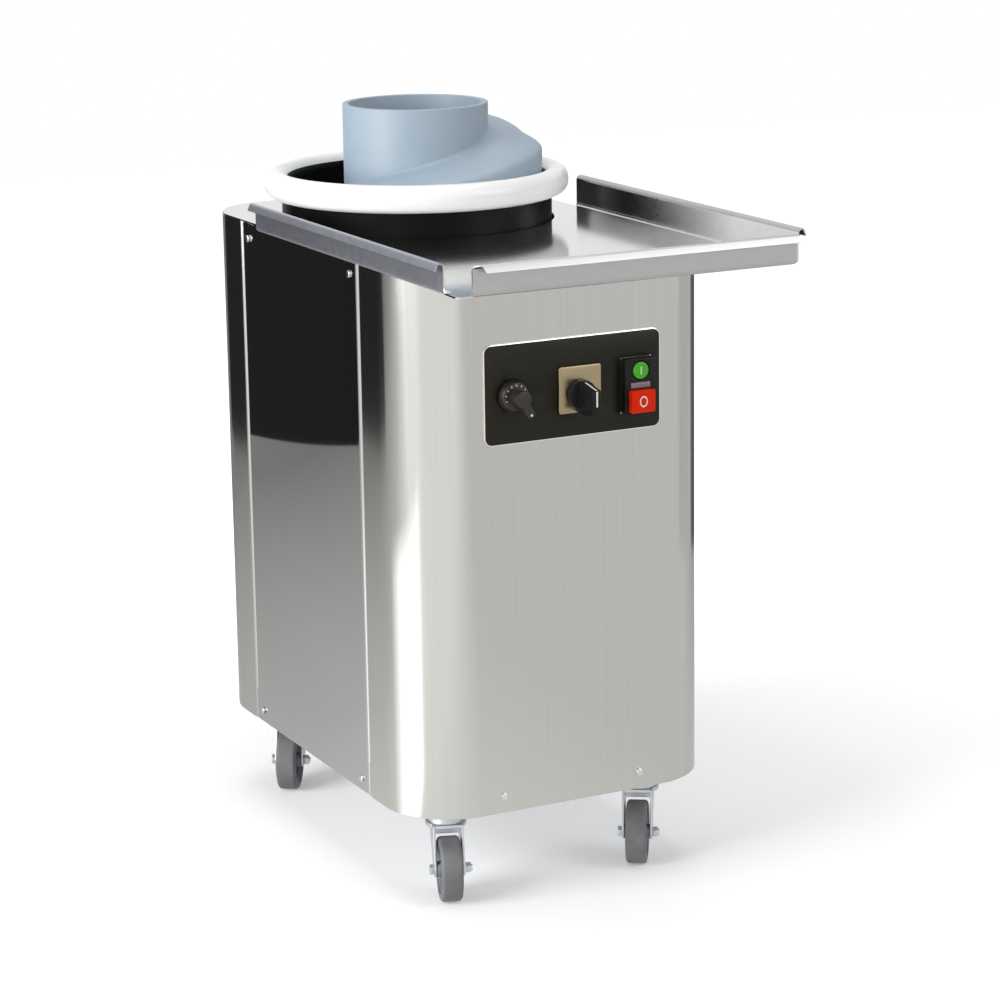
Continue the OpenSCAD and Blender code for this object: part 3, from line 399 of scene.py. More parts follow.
plainNodes = {
    "base_pan": zincSteel, "corner_posts": zincSteel, "deck_plate": zincSteel, "caster_heads": zincSteel,
    "caster_bolts": zincSteel, "post_bolts": zincSteel, "motor_bolts": zincSteel, "motor_plate": zincSteel,
    "front_panel": satinSteel, "rear_panel": satinSteel, "left_cover": sideSteel, "right_cover": sideSteel,
    "top_tray": traySteel, "cover_screws": screwSteel, "panel_screws": screwSteel, "auger_post": screwSteel,
    "upper_bearing": screwSteel, "lower_bearing": screwSteel, "motor_shaft": screwSteel, "drum": drumCoat,
    "rim_ring": ringGloss, "auger_tube": augerCoat, "auger_flight": augerCoat, "drum_hub": castMetal,
    "drum_pulley": castMetal, "motor_pulley": castMetal, "motor_housing": motorPaint,
    "motor_cowl": motorPaint, "drive_belt": beltRubber, "control_plate": plateEdge, "control_film": filmBlack,
    "selector_plate": selectorMetal, "speed_knob": controlBlack, "selector_handle": controlBlack,
    "button_frame": controlBlack, "cable_gland": controlBlack, "potentiometer": switchGrey,
    "selector_switch": switchGrey, "contact_block": switchGrey, "speed_controller": switchGrey,
    "start_button": startGreen, "stop_button": stopRed, "pilot_lens": lensGrey,
}
for corner in ("fl", "fr", "rl", "rr"):
    plainNodes["fork_" + corner] = zincSteel
    plainNodes["axle_" + corner] = zincSteel
    plainNodes["wheel_" + corner] = wheelGrey
    plainNodes["tyre_" + corner] = tyreGrey
for nodeName, material in plainNodes.items():
    nodes[nodeName].data.materials.clear()
    nodes[nodeName].data.materials.append(material)
print("CAD nodes painted")


# cabinet skin

skinSizes = {
    "width": 0.4, "depth": 0.6, "foot": 0.112, "top": 0.7475, "cornerRadius": 0.084, "cornerSteps": 28,
    "coverHalf": 0.171, "seam": 0.0012, "returnDepth": 0.008, "bend": 0.0055, "bendSteps": 5, "sheet": 0.0015,
    "wrapEdge": 0.0004, "coverCorner": 0.0015,
    "vents": {"x": 0.062, "low": 0.362, "step": 0.014, "rows": 8, "width": 0.074, "height": 0.005,
              "cut": 0.01, "roundShare": 0.49, "roundSteps": 6},
}


def upright(middle, direction):
    return abs(direction.z) > mostly


# the front or the rear sheet, bent round two corners, with its edges folded in behind the covers
def makeWrap(name, side, s):
    halfX = s["width"] / 2
    seamY = midY + side * s["coverHalf"]
    piece = addBox(name, (-halfX, midY - s["depth"] / 2, s["foot"]), (halfX, midY + s["depth"] / 2, s["top"]))
    bevelEdges(piece, upright, s["cornerRadius"], s["cornerSteps"])
    pickAll(piece)
    bpy.ops.mesh.bisect(plane_co=(0.0, seamY, 0.0), plane_no=(0.0, side, 0.0), clear_inner=True)
    pick(piece, "FACE", lambda middle, normal: abs(normal.z) > mostly)
    bpy.ops.mesh.delete(type="FACE")
    for sx in (-1, 1):
        pick(piece, "EDGE", lambda middle, direction: upright(middle, direction)
             and abs(middle.y - seamY) < near and middle.x * sx > 0)
        bpy.ops.mesh.extrude_region_move(TRANSFORM_OT_translate={"value": (-sx * s["returnDepth"], 0.0, 0.0)})
    bevelEdges(piece, lambda middle, direction: upright(middle, direction) and abs(middle.y - seamY) < near
               and abs(abs(middle.x) - halfX) < near, s["bend"], s["bendSteps"])
    modify(piece, "SOLIDIFY", thickness=s["sheet"], offset=-1.0)
    roundEdges(piece, s["wrapEdge"], 2, 60)
    return piece


def makeVents(s):
    v = s["vents"]
    slots = []
    for sx in (-1, 1):
        for row in range(v["rows"]):
            z = v["low"] + row * v["step"]
            y = midY + s["depth"] / 2
            slot = addBox("slot", (sx * v["x"] - v["width"] / 2, y - v["cut"], z - v["height"] / 2),
                          (sx * v["x"] + v["width"] / 2, y + v["cut"], z + v["height"] / 2))
            bevelEdges(slot, lambda middle, direction: abs(direction.y) > mostly,
                       v["height"] * v["roundShare"], v["roundSteps"])
            slots.append(slot)
    return joinAll("vents", slots)


def makeCover(name, side, s):
    halfX = s["width"] / 2
    reach = s["coverHalf"] - s["seam"]
    ends = sorted((side * halfX, side * (halfX - s["returnDepth"])))
    piece = addBox(name, (ends[0], midY - reach, s["foot"] + s["seam"]),
                   (ends[1], midY + reach, s["top"] - s["seam"]))
    pick(piece, "FACE", lambda middle, normal: normal.x * side < -mostly)
    bpy.ops.mesh.delete(type="FACE")
    bpy.ops.object.mode_set(mode="OBJECT")
    bevelEdges(piece, lambda middle, direction: upright(middle, direction)
               and abs(middle.x - side * halfX) < near, s["bend"], s["bendSteps"])
    bevelEdges(piece, lambda middle, direction: abs(direction.x) > mostly, s["coverCorner"], 3)
    modify(piece, "SOLIDIFY", thickness=s["sheet"], offset=-1.0)
    return piece


frontWrap = makeWrap("frontWrap", -1, skinSizes)
dress(frontWrap, satinSteel, "cabinet", "satin_steel", "front_panel", angle=20)
rearWrap = makeWrap("rearWrap", 1, skinSizes)
cutWith(rearWrap, makeVents(skinSizes))
dress(rearWrap, satinSteel, "cabinet", "satin_steel", "rear_panel", angle=20)
for coverName, side in (("left_cover", -1), ("right_cover", 1)):
    cover = makeCover(coverName.replace("_", "") + "Sheet", side, skinSizes)
    dress(cover, sideSteel, "cabinet", "polished_steel", coverName, angle=20)
print("cabinet skin made")


# ring, white outside and over the top, and black inside down from where the drum shows

ringTone = {"upTo": 0.48, "inward": -0.2}


def makeRing(s):
    ring = copyNode("rim_ring", "two_tone_ring")
    ring.data.materials.clear()
    ring.data.materials.append(ringGloss)
    ring.data.materials.append(drumCoat)
    for face in ring.data.polygons:
        out = Vector((face.center.x - drumX, face.center.y - drumY, 0.0)).normalized()
        inside = face.normal.dot(out) < s["inward"] and face.normal.z < s["upTo"]
        face.material_index = 1 if inside else 0
    dress(ring, None, "drum_set", "ring_white", "rim_ring", angle=30)


makeRing(ringTone)
print("ring made")


# auger

augerSizes = {
    "tubeRadius": 0.088, "tubeWall": 0.0075, "tubeFoot": 0.5755, "tubeTop": 0.8908, "footThick": 0.02,
    "windowSill": 0.002, "windowHigh": 0.092, "windowTurn": 110.0, "windowLead": 20.0,
    "tubeSteps": 192, "brim": 0.001, "wedgeReach": 0.2, "wedgeBulge": 1.6,
    "flightRadius": 0.153, "pitch": 0.142, "endAngle": 70.0, "endDrop": 0.0045, "dip": 0.007,
    "depthShare": 0.8, "footRunout": 47.0, "endRunout": 60.0, "runoutLeast": 0.25, "headroom": 0.0015,
    "shoulderLead": 100.0, "shoulderTurn": 18.0, "shoulderShare": 0.71, "steps": 336,
    # outline of the flight, outwards and upwards, as parts of its reach
    "outline": [
        (-0.05, 0.095), (0.0, 0.058), (0.012, 0.037), (0.035, 0.014), (0.07, -0.003), (0.11, -0.0155),
        (0.2, -0.034), (0.34, -0.061), (0.46, -0.088), (0.57, -0.114), (0.67, -0.138), (0.77, -0.161),
        (0.84, -0.181), (0.9, -0.204), (0.945, -0.229), (0.975, -0.257), (0.993, -0.288), (1.0, -0.325),
        (1.0, -0.5), (1.0, -0.68), (0.99, -0.715), (0.965, -0.738), (0.93, -0.745), (0.75, -0.70),
        (0.5, -0.64), (0.1, -0.528), (-0.05, -0.487)],
}


def makeTube(s):
    high = s["tubeTop"] - s["tubeFoot"]
    tube = addRound("augerTube", (drumX, drumY, s["tubeFoot"] + high / 2), s["tubeRadius"], high,
                    vertices=s["tubeSteps"])
    pick(tube, "FACE", lambda middle, normal: normal.z > mostly)
    bpy.ops.mesh.inset(thickness=s["tubeWall"])
    bpy.ops.mesh.extrude_region_move(TRANSFORM_OT_translate={"value": (0.0, 0.0, s["footThick"] - high)})
    bpy.ops.object.mode_set(mode="OBJECT")
    bevelEdges(tube, lambda middle, direction: not upright(middle, direction)
               and middle.z > s["tubeTop"] - near, s["brim"], 3)
    return tube


# a wedge that cuts the dough's way out of the tube
def makeWindow(s, startAngle):
    far = s["wedgeReach"]
    out = far * s["wedgeBulge"]
    a = math.radians(startAngle - s["windowLead"] - s["windowTurn"])
    b = math.radians(startAngle - s["windowLead"])
    low = s["tubeFoot"] + s["footThick"] + s["windowSill"]
    clear()
    bpy.ops.mesh.primitive_circle_add(vertices=4, radius=0.1, fill_type="NGON")
    wedge = bpy.context.object
    middle = (a + b) / 2
    places = [(0.0, 0.0), (far * math.cos(a), far * math.sin(a)),
              (out * math.cos(middle), out * math.sin(middle)), (far * math.cos(b), far * math.sin(b))]
    for corner, (x, y) in zip(wedge.data.vertices, places):
        corner.co = (drumX + x, drumY + y, low)
    pickAll(wedge)
    bpy.ops.mesh.extrude_region_move(TRANSFORM_OT_translate={"value": (0.0, 0.0, s["windowHigh"])})
    bpy.ops.mesh.select_all(action="SELECT")
    bpy.ops.mesh.normals_make_consistent(inside=False)
    bpy.ops.object.mode_set(mode="OBJECT")
    return wedge


def held(value):
    return min(1.0, max(0.0, value))


# part of the full reach that the flight has, by the turn left to its end
def flightWidth(s, before, turn):
    width = 1.0
    for left, runout in ((turn - before, s["footRunout"]), (before, s["endRunout"])):
        end = held(1.0 - left / runout)
        width *= s["runoutLeast"] + (1.0 - s["runoutLeast"]) * math.sqrt(1.0 - end * end)
    step = held((s["shoulderLead"] - before) / s["shoulderTurn"])
    return width * (1.0 - (1.0 - s["shoulderShare"]) * step * step * (3.0 - 2.0 * step))


def makeFlight(s, turn, low, high):
    reach = s["flightRadius"] - s["tubeRadius"]
    clear()
    bpy.ops.mesh.primitive_circle_add(vertices=len(s["outline"]), radius=0.1)
    flight = bpy.context.object
    flight.name = "augerFlight"
    for corner, (out, rise) in zip(flight.data.vertices, s["outline"]):
        corner.co = (s["tubeRadius"] + out * reach, 0.0, rise * reach)
    modify(flight, "SCREW", axis="Z", angle=math.radians(turn), screw_offset=high - low, iterations=1,
           steps=s["steps"], render_steps=s["steps"], use_smooth_shade=True)
    for corner in flight.data.vertices:
        # each end is drawn in towards the tube, and the upper one bends down
        radius = math.hypot(corner.co.x, corner.co.y)
        share = corner.index // len(s["outline"]) / s["steps"]
        before = turn * (1.0 - share)
        width = flightWidth(s, before, turn)
        base = (high - low) * share
        rise = corner.co.z - base
        eased = s["tubeRadius"] + (radius - s["tubeRadius"]) * (width if radius > s["tubeRadius"] else 1.0)
        corner.co.x *= eased / radius
        corner.co.y *= eased / radius
        bent = base - s["dip"] * held(1.0 - before / s["endRunout"]) + rise * (width if rise < 0 else 1.0)
        corner.co.z = min(bent, s["tubeTop"] - s["headroom"] - low)
    pick(flight, "VERT", lambda place: True)
    bpy.ops.mesh.select_mode(type="EDGE")
    bpy.ops.mesh.select_all(action="DESELECT")
    bpy.ops.mesh.select_non_manifold(extend=False)
    bpy.ops.mesh.edge_face_add()
    bpy.ops.mesh.select_all(action="SELECT")
    bpy.ops.mesh.normals_make_consistent(inside=False)
    bpy.ops.object.mode_set(mode="OBJECT")
    flight.rotation_euler = (0.0, 0.0, math.radians(s["endAngle"] - turn))
    flight.location = (drumX, drumY, low)
    settle(flight)
    return flight


def makeAuger(s):
    reach = s["flightRadius"] - s["tubeRadius"]
    low = s["tubeFoot"] + s["depthShare"] * reach
    high = s["tubeTop"] - s["endDrop"] + s["dip"]
    turn = (high - low) / s["pitch"] * 360.0
    tube = makeTube(s)
    cutWith(tube, makeWindow(s, s["endAngle"] - turn))
    dress(tube, augerCoat, "auger_set", "auger_coat", "auger_tube", angle=30)
    flight = makeFlight(s, turn, low, high)
    dress(flight, augerCoat, "auger_set", "auger_coat", "auger_flight", angle=60)


makeAuger(augerSizes)
print("auger made")


# tray, one folded sheet

traySizes = {
    "lipX": 0.2098, "frontY": -0.4466, "bodyFront": -0.3, "sheet": 0.0018, "fall": 0.0029,
    "lipHigh": 0.0332, "rightHigh": 0.0385, "hemOut": 0.012, "hemSlope": 0.0035, "hemDrop": 0.0085,
    "flange": 0.009, "footBend": 0.004, "foldBend": 0.006, "topBend": 0.0018, "bendSteps": 5,
    "leftBack": 0.096, "rightBack": 0.068, "leftGap": 0.028, "frontGap": 0.018, "cornerRound": 0.004,
    "overlap": 0.001, "holeRadius": 0.167, "holeDepth": 0.02, "holeSteps": 160,
}


# the floor falls a little towards the front, where nothing is under it
def floorFall(s, y):
    return s["fall"] * held((midY + s["bodyFront"] - y) / (s["bodyFront"] - s["frontY"]))


# one lip in its own place: outwards along X, running along Y from the origin, foot at zero;
# the station is where the floor's fall begins, and the cuts say which ends of flange and hem are mitred
def makeLip(name, length, high, station, flangeCuts, hemCuts, s):
    clear()
    bpy.ops.mesh.primitive_plane_add(size=1.0)
    lip = bpy.context.object
    lip.name = name
    for corner in lip.data.vertices:
        corner.co = (0.0 if corner.co.x > 0 else -s["flange"], length if corner.co.y > 0 else 0.0, 0.0)
    x = 0.0
    z = 0.0
    flat = s["hemOut"] - s["hemSlope"]
    for out, rise in ((0.0, high), (flat, 0.0), (s["hemSlope"], -s["hemDrop"])):
        pick(lip, "EDGE", lambda middle, direction: abs(direction.y) > mostly
             and abs(middle.x - x) < veryNear and abs(middle.z - z) < veryNear)
        bpy.ops.mesh.extrude_region_move(TRANSFORM_OT_translate={"value": (out, 0.0, rise)})
        bpy.ops.object.mode_set(mode="OBJECT")
        x += out
        z += rise
    for corner in lip.data.vertices:
        start = corner.co.y < length / 2
        end = 0 if start else 1
        if corner.co.x > flat / 2 and hemCuts[end]:
            corner.co.y += corner.co.x if start else -corner.co.x
        elif corner.co.x < -s["flange"] / 2 and flangeCuts[end]:
            corner.co.y += s["flange"] if start else -s["flange"]
    for bendX, bendZ, bend in ((0.0, 0.0, s["footBend"]), (0.0, high, s["foldBend"]),
                               (flat, high, s["topBend"])):
        bevelEdges(lip, lambda middle, direction: abs(direction.y) > mostly
                   and abs(middle.x - bendX) < veryNear and abs(middle.z - bendZ) < veryNear,
                   bend, s["bendSteps"])
    pickAll(lip)
    bpy.ops.mesh.bisect(plane_co=(0.0, station, 0.0), plane_no=(0.0, 1.0, 0.0))
    bpy.ops.object.mode_set(mode="OBJECT")
    return lip


# the lip in its place with its flange on the floor; finishes: inside, outside, hem, and under the hem, where
# near-black steel is painted shade for the hem's shadow
def placeLip(lip, place, turn, finishes, s):
    inner = [corner.index for corner in lip.data.vertices if corner.co.x < near - s["flange"]]
    hem = [face.index for face in lip.data.polygons if face.center.x > s["sheet"] / 9]
    lip.rotation_euler = (0.0, 0.0, turn)
    lip.location = place
    settle(lip)
    for index in inner:
        corner = lip.data.vertices[index]
        corner.co.z = floorTop - floorFall(s, corner.co.y)
    for finish in finishes:
        lip.data.materials.append(finish)
    for face in lip.data.polygons:
        face.material_index = 2 if face.index in hem else 0
    modify(lip, "SOLIDIFY", thickness=s["sheet"], offset=-1.0, material_offset=1)
    return lip


def makeFloor(s):
    low = floorTop - s["sheet"]
    halfX = skinSizes["width"] / 2
    halfY = skinSizes["depth"] / 2
    floor = addBox("trayFloor", (-halfX, midY - halfY, low), (halfX, midY + halfY, floorTop))
    bevelEdges(floor, upright, skinSizes["cornerRadius"], skinSizes["cornerSteps"])
    edge = s["lipX"] - s["flange"]
    ahead = midY + s["frontY"]
    front = addBox("frontPart", (-edge, ahead + s["flange"], low), (edge, midY + s["rightBack"], floorTop))
    cutWith(floor, front, "UNION")
    side = addBox("sidePart", (-edge, midY, low), (0.0, midY + s["leftBack"], floorTop))
    cutWith(floor, side, "UNION")
    # the open corner between the left lip and the front lip
    corner = addBox("cornerPart", (-s["lipX"], ahead, low),
                    (s["frontGap"] - s["lipX"] + s["overlap"], ahead + s["leftGap"] + s["overlap"], floorTop))
    bevelEdges(corner, lambda middle, direction: upright(middle, direction) and middle.x < -s["lipX"] + near
               and middle.y < ahead + near, s["cornerRound"], 6)
    cutWith(floor, corner, "UNION")
    cutWith(floor, addRound("hole", (drumX, drumY, floorTop), s["holeRadius"], s["holeDepth"],
                            vertices=s["holeSteps"]))
    pickAll(floor)
    bpy.ops.mesh.bisect(plane_co=(0.0, midY + s["bodyFront"], 0.0), plane_no=(0.0, 1.0, 0.0))
    bpy.ops.object.mode_set(mode="OBJECT")
    for corner in floor.data.vertices:
        corner.co.z -= floorFall(s, corner.co.y)
    floor.data.materials.append(traySteel)
    return floor


def makeTray(s):
    foot = floorTop - s["fall"]
    back = midY + s["leftBack"]
    ahead = midY + s["frontY"]
    left = makeLip("leftLip", s["leftBack"] - s["frontY"] - s["leftGap"], s["lipHigh"],
                   s["leftBack"] - s["bodyFront"], (False, False), (False, False), s)
    # the left lip's outside and hem take the darker steel with its painted shade
    placeLip(left, (-s["lipX"], back, foot), math.pi, (traySteel, paintedShadeFlankSteel, paintedShadeFlankSteel, paintedHemShade), s)
    right = makeLip("rightLip", s["rightBack"] - s["frontY"], s["rightHigh"], s["bodyFront"] - s["frontY"],
                    (True, False), (False, False), s)
    placeLip(right, (s["lipX"], ahead, foot), 0.0, (innerSteel, lipSteel, hemSteel, paintedHemShade), s)
    front = makeLip("frontLip", 2 * s["lipX"] - s["frontGap"] - s["sheet"], s["lipHigh"], s["lipX"],
                    (False, True), (True, False), s)
    placeLip(front, (-s["lipX"] + s["frontGap"], ahead, foot), -math.pi / 2,
             (traySteel, lipSteel, hemSteel, paintedHemShade), s)
    tray = joinAll("folded_tray", [makeFloor(s), left, right, front])
    dress(tray, None, "cabinet", "polished_steel", "top_tray", angle=25)


makeTray(traySizes)
print("tray made")


# controls

controlSizes = {
    "faceY": midY - 0.3,
    "plate": {"half": (0.111, 0.055), "round": 0.011, "grow": (0.0019, 0.0028)},
    "film": {"half": (0.1084, 0.0524), "round": 0.0084, "grow": (0.0032, 0.0041)},
    "knob": {"x": -0.073, "z": 0.6015, "back": 0.0049, "skirt": 0.0185, "skirtHigh": 0.009,
             "skirtTaper": 0.865, "skirtEdge": 0.0008, "grip": 0.0095, "gripHigh": 0.017, "gripEdge": 0.0012,
             "nose": 0.0255, "noseWide": 0.010, "noseBack": 0.0065, "noseHigh": 0.0235, "angle": -60.0,
             "dot": 0.0223, "dotRadius": 0.0014, "dotHigh": 0.0008,
             "ticks": 9, "tickFrom": 42.0, "tickStep": 27.0,
             "tickLow": (0.0122, -0.0003, -0.0004), "tickHigh": (0.0142, 0.0003, 0.0004), "tickSunk": 0.0001},
    "handle": {"x": 0.0115, "z": 0.5945, "back": 0.0069, "top": 0.0175, "deep": 0.039, "slope": 0.007,
               "mark": 0.0019, "markHigh": 0.0004, "markFrom": 0.0125, "markDown": 0.0182},
    "start": {"x": 0.0855, "z": 0.6155, "front": 0.0152, "barX": 0.0009, "barZ": 0.0045, "barEdge": 0.0002},
    "stop": {"x": 0.0855, "z": 0.5805, "front": 0.021, "ring": 0.0049, "ringThick": 0.00075,
             "ringScale": (0.9, 1.15, 0.4)},
}
standing = (math.pi / 2, 0.0, 0.0)  # turns a round piece to face the front


# a flat CAD piece again with its outline moved outwards; the cut-outs stay
def growOutline(nodeName, material, slotName, width, p):
    piece = copyNode(nodeName, nodeName + "_eased")
    middle = boxMiddle(piece)
    for corner in piece.data.vertices:
        x = corner.co.x - middle.x
        z = corner.co.z - middle.z
        overX = max(0.0, abs(x) - p["half"][0] + p["round"])
        overZ = max(0.0, abs(z) - p["half"][1] + p["round"])
        if math.hypot(overX, overZ) > p["round"] * 0.97:
            corner.co.x += math.copysign(p["grow"][0], x)
            corner.co.z += math.copysign(p["grow"][1], z)
    roundEdges(piece, width)
    dress(piece, material, "cabinet", slotName, nodeName)


def makeKnob(c):
    k = c["knob"]
    y = c["faceY"] - k["back"]
    skirt = addRound("knobSkirt", (k["x"], y - k["skirtHigh"] / 2, k["z"]), k["skirt"], k["skirtHigh"],
                     standing)
    pick(skirt, "FACE", lambda middle, normal: normal.y < -mostly)
    bpy.ops.transform.resize(value=(k["skirtTaper"], 1.0, k["skirtTaper"]),
                             center_override=(k["x"], y, k["z"]))
    bpy.ops.object.mode_set(mode="OBJECT")
    roundEdges(skirt, k["skirtEdge"], 3, 40)
    top = y - k["skirtHigh"]
    grip = addRound("knobGrip", (0.0, -k["gripHigh"] / 2, 0.0), k["grip"], k["gripHigh"] + 0.001,
                    standing, 64)
    nose = addBox("knobNose", (-0.002, k["skirtHigh"] - k["noseHigh"], -k["noseWide"] / 2),
                  (k["nose"], k["skirtHigh"] - k["noseBack"], k["noseWide"] / 2))
    bevelEdges(nose, lambda middle, direction: abs(direction.y) > mostly and middle.x > k["nose"] / 2,
               k["noseWide"] * 0.48, 8)
    cutWith(grip, nose, "UNION")
    roundEdges(grip, k["gripEdge"], 3, 40)
    grip.rotation_euler = (0.0, -math.radians(k["angle"]), 0.0)
    grip.location = (k["x"], top, k["z"])
    settle(grip)
    knob = joinAll("turned_knob", [skirt, grip])
    dress(knob, knobBlack, "knob", "control_black", "speed_knob", angle=40)
    marks = []
    for i in range(k["ticks"]):
        angle = math.radians(k["angle"] + k["tickFrom"] + i * k["tickStep"])
        tick = addBox("tick", k["tickLow"], k["tickHigh"])
        tick.rotation_euler = (0.0, -angle, 0.0)
        tick.location = (k["x"], top - k["tickSunk"], k["z"])
        settle(tick)
        marks.append(tick)
    dot = addRound("dot", (0.0, 0.0, 0.0), k["dotRadius"], k["dotHigh"], standing, 24)
    lean = math.radians(k["angle"])
    dot.location = (k["x"] + k["dot"] * math.cos(lean), y - k["noseHigh"], k["z"] + k["dot"] * math.sin(lean))
    settle(dot)
    marks.append(dot)
    dress(joinAll("knob_marks", marks), markWhite, "knob", "control_black")


def makeMarks(c):
    h = c["handle"]
    top = h["z"] + h["top"]
    back = c["faceY"] - h["back"]
    lean = math.atan2(h["slope"], h["deep"])
    slope = addBox("slopeMark", (-h["mark"] / 2, -math.hypot(h["slope"], h["deep"]) + 0.001, -h["markHigh"]),
                   (h["mark"] / 2, -h["markFrom"], h["markHigh"]))
    slope.rotation_euler = (lean, 0.0, 0.0)
    slope.location = (h["x"], back, top)
    settle(slope)
    ahead = back - h["deep"]
    brow = top - h["slope"]
    front = addBox("frontMark", (h["x"] - h["mark"] / 2, ahead - h["markHigh"], brow - h["markDown"]),
                   (h["x"] + h["mark"] / 2, ahead + h["markHigh"], brow - 0.0006))
    dress(joinAll("handle_mark", [slope, front]), markWhite, "handle", "control_black")
    on = c["start"]
    face = c["faceY"] - on["front"]
    bar = addBox("start_bar", (on["x"] - on["barX"], face - 0.0003, on["z"] - on["barZ"]),
                 (on["x"] + on["barX"], face + 0.0004, on["z"] + on["barZ"]))
    roundEdges(bar, on["barEdge"])
    dress(bar, markGreen, "start", "start_green")
    off = c["stop"]
    clear()
    bpy.ops.mesh.primitive_torus_add(major_radius=off["ring"], minor_radius=off["ringThick"],
                                     major_segments=48, minor_segments=10, rotation=standing)
    ring = bpy.context.object
    ring.name = "stop_ring"
    ring.scale = off["ringScale"]
    ring.location = (off["x"], c["faceY"] - off["front"], off["z"])
    settle(ring)
    dress(ring, markWhite, "stop", "stop_red")


makeKnob(controlSizes)
makeMarks(controlSizes)
growOutline("control_plate", plateEdge, "plate_aluminium", 0.0006, controlSizes["plate"])
growOutline("control_film", filmBlack, "film_black", 0.0001, controlSizes["film"])
soften("selector_plate", selectorMetal, "cabinet", "selector_metal", 0.0009, 3)
soften("selector_handle", controlBlack, "handle", "control_black", 0.0016, 3)
soften("button_frame", controlBlack, "cabinet", "control_black", 0.0008, 3)
soften("stop_button", stopRed, "stop", "stop_red", 0.0014, 3)
soften("start_button", startGreen, "start", "start_green", 0.0007, 3, (0.88, 0.9))
soften("pilot_lens", lensGrey, "cabinet", "lens_grey", 0.0003)
print("controls made")


# casters and screws

casterSizes = {
    "x": 0.129, "y": 0.227, "forkEdge": 0.0009,
    "webWide": 0.0302, "webBack": -0.02, "webFront": 0.012, "webFoot": 0.0785, "webTop": 0.0845,
    # which side each caster is on, and how far it is turned
    "corners": {"fl": (-1, -1, 19.0), "fr": (1, -1, 33.0), "rl": (-1, 1, 33.0), "rr": (1, 1, 26.0)},
}


# the fork again with the pressed web under its crown
def makeFork(name, sideX, sideY, yaw, s):
    fork = copyNode("fork_" + name, "fork_" + name + "_eased")
    roundEdges(fork, s["forkEdge"], 3)
    web = addBox("web", (-s["webWide"] / 2, s["webBack"], s["webFoot"]),
                 (s["webWide"] / 2, s["webFront"], s["webTop"]))
    web.rotation_euler = (0.0, 0.0, -math.radians(yaw))
    web.location = (sideX * s["x"], midY + sideY * s["y"], 0.0)
    settle(web)
    fork = joinAll("fork_" + name + "_eased", [fork, web])
    dress(fork, zincSteel, "swivel_" + name, "zinc_steel", "fork_" + name)


for corner, (sideX, sideY, yaw) in casterSizes["corners"].items():
    makeFork(corner, sideX, sideY, yaw, casterSizes)
    soften("axle_" + corner, zincSteel, "swivel_" + corner, "zinc_steel", 0.0006)
    soften("wheel_" + corner, wheelGrey, "roller_" + corner, "wheel_grey", 0.0006)
    soften("tyre_" + corner, tyreGrey, "roller_" + corner, "tyre_grey", 0.0004)
soften("caster_heads", zincSteel, "cabinet", "zinc_steel", 0.0008)
soften("cover_screws", screwSteel, "cabinet", "screw_steel", 0.0012, 3)
soften("panel_screws", screwSteel, "cabinet", "screw_steel", 0.0012, 3)
soften("cable_gland", controlBlack, "cabinet", "control_black", 0.0008)
print("casters made")


# stage

stageSet = {
    "worldLight": 0.27, "worldShine": 0.95, "floorReach": 6.0, "floorTone": 0.8, "floorSeen": 1.03,
    # light that the camera sees the floor give, more of it between two distances from the middle, squared
    "floorGlow": 0.22, "farGlow": 0.6, "farFrom": 0.25, "farTo": 2.0,
    "key": {"place": (-3.5, -0.5, 1.4), "aim": (0.0, 0.0, 0.7), "size": 2.2, "power": 126.0},
    "fill": {"place": (2.4, -3.2, 2.2), "aim": (0.0, 0.0, 0.5), "size": 2.4, "power": 46.0},
    "top": {"place": (0.0, 0.2, 3.2), "aim": (0.0, 0.0, 0.7), "size": 2.0, "power": 30.0},
    # what the metal sees of the floor, from the left to the right, in front, and to the far back
    "floorAcross": (-0.6, 0.35, 1.1, 0.78), "floorNear": (-0.3, 0.5, 1.0, 0.62),
    "floorBack": (0.5, 2.0, 1.0, 0.42), "floorTint": (1.0, 1.0, 0.99),
    # cards that only the metal sees: the way they face, their size, how bright they are and their soft edge
    "cards": {
        "leftStrip": {"place": (-0.615, -0.361), "turn": 322.0, "wide": 0.58, "high": 1.7, "glow": 1.2,
                      "fade": 0.06},
        "lowStrip": {"place": (-0.462, -0.25), "turn": 322.0, "wide": 0.46, "high": 0.42, "glow": 2.0,
                     "fade": 0.06},
        "darkRight": {"place": (1.6, -0.15), "turn": 90.0, "wide": 1.0, "high": 1.1, "glow": 0.64},
        "darkBack": {"place": (-1.293, 1.981), "turn": 329.0, "wide": 2.02, "high": 1.5, "glow": 0.022},
        "darkSide": {"place": (1.3, 0.75), "turn": 56.0, "wide": 0.9, "high": 1.1, "glow": 0.12},
    },
}
white = (1.0, 1.0, 1.0)


def addLamp(name, place, aim, size, power):
    clear()
    bpy.ops.object.light_add(type="AREA", location=place)
    lamp = bpy.context.object
    lamp.name = name
    lamp.data.shape = "SQUARE"
    lamp.data.size = size
    lamp.data.energy = power
    lamp.rotation_euler = (Vector(aim) - Vector(place)).to_track_quat("-Z", "Y").to_euler()


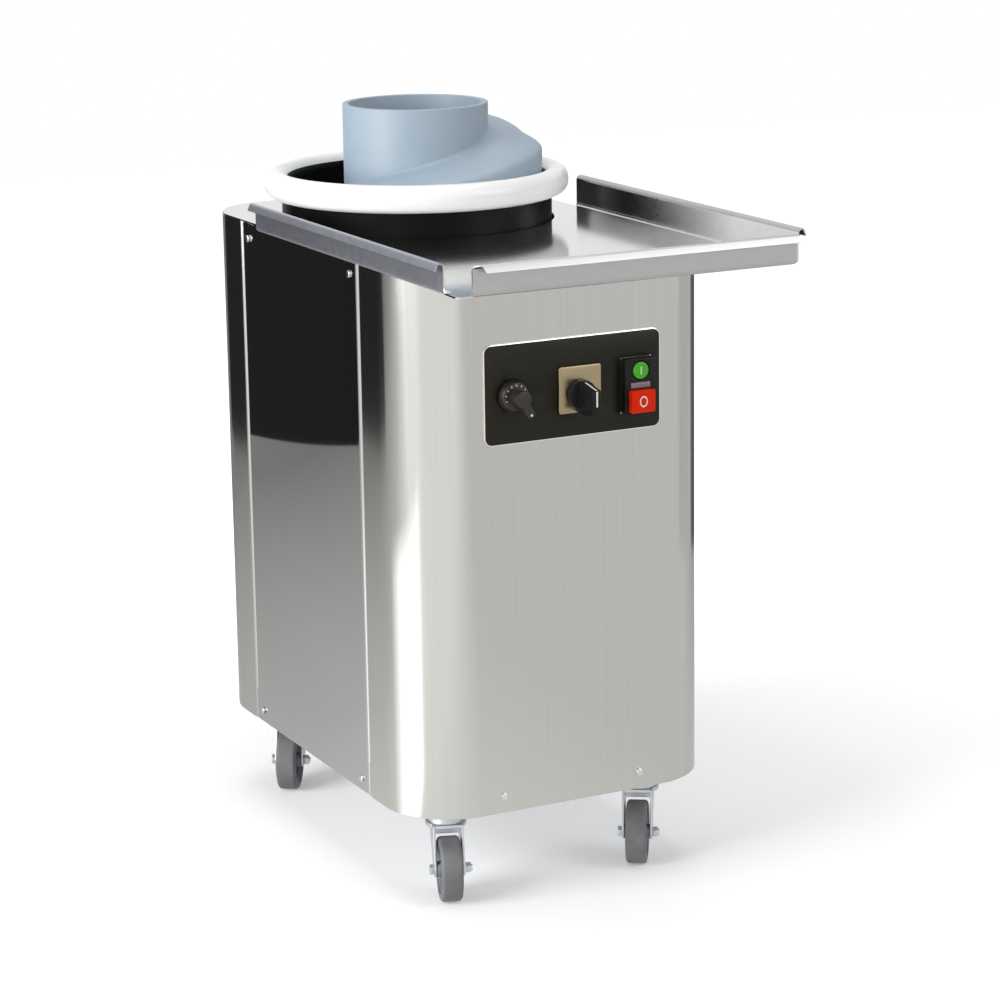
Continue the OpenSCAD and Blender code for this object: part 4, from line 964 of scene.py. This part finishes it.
# an upright card on the floor, turned from the back towards the right;
# one with a soft edge shows only from its front
def addCard(name, place, turn, wide, high, glow, fade=None):
    clear()
    bpy.ops.mesh.primitive_plane_add(size=1.0)
    card = bpy.context.object
    card.name = name
    card.scale = (wide, high, 1.0)
    card.rotation_euler = (math.pi / 2, 0.0, -math.radians(turn))
    card.location = (place[0], place[1], high / 2 + 0.001)
    settle(card)
    finish = Finish(name)
    bright = finish.node("Emission", {}, {"Color": white, "Strength": glow})
    if fade:
        around = math.radians(turn)
        across = finish.place("X") * math.cos(around) - finish.place("Y") * math.sin(around)
        middle = place[0] * math.cos(around) - place[1] * math.sin(around)
        left = finish.spread(across, 0.0, 1.0, middle - wide / 2, middle - wide / 2 + fade)
        right = finish.spread(across, 1.0, 0.0, middle + wide / 2 - fade, middle + wide / 2)
        above = finish.spread(finish.place("Z"), 1.0, 0.0, high - fade, high)
        front = 1.0 - finish.node("NewGeometry", out="Backfacing")
        bare = finish.node("BsdfTransparent")
        bright = finish.node("MixShader", {}, {0: left * right * above * front, 1: bare, 2: bright})
    card.data.materials.append(finish.show(bright))
    card.visible_camera = False
    card.visible_diffuse = False
    card.visible_shadow = False


def makeStage(s):
    clear()
    bpy.ops.mesh.primitive_plane_add(size=2 * s["floorReach"], location=(0.0, 0.0, 0.0))
    ground = bpy.context.object
    ground.name = "floor"
    finish = Finish("floorPale")
    seen = finish.node("LightPath", out="Is Camera Ray")
    shine = finish.node("LightPath", out="Is Glossy Ray")
    x = finish.place("X")
    y = finish.place("Y")
    far = finish.spread(x * x + y * y, 0.0, s["farGlow"], s["farFrom"], s["farTo"])
    tone = finish.blend(seen, (s["floorTone"],) * 3, (s["floorSeen"],) * 3)
    matt = finish.node("BsdfDiffuse", {}, {"Color": tone})
    glow = finish.node("Emission", {}, {"Color": white, "Strength": seen * (far + s["floorGlow"])})
    pale = finish.node("AddShader", {}, {0: matt, 1: glow})
    level = 1.0
    for wire, (start, end, low, high) in ((x, s["floorAcross"]), (y, s["floorNear"]), (y, s["floorBack"])):
        level = finish.spread(wire, low, high, start, end) * level
    mirrored = finish.node("Emission", {}, {"Color": s["floorTint"], "Strength": level})
    ground.data.materials.append(finish.show(finish.node("MixShader", {}, {0: shine, 1: pale, 2: mirrored})))
    for name in ("key", "fill", "top"):
        addLamp(name + "Lamp", **s[name])
    for name, card in s["cards"].items():
        addCard(name, **card)
    world = bpy.data.worlds.new("studio")
    bpy.context.scene.world = world
    sky = Finish("sky", world)
    seen = sky.node("LightPath", out="Is Camera Ray")
    shine = sky.node("LightPath", out="Is Glossy Ray")
    strength = seen * (1.0 - s["worldLight"]) + shine * (s["worldShine"] - s["worldLight"]) + s["worldLight"]
    sky.show(sky.node("Background", {}, {"Color": white, "Strength": strength}))
    bpy.context.scene.view_settings.view_transform = "Standard"


makeStage(stageSet)
print("stage set")

clear()
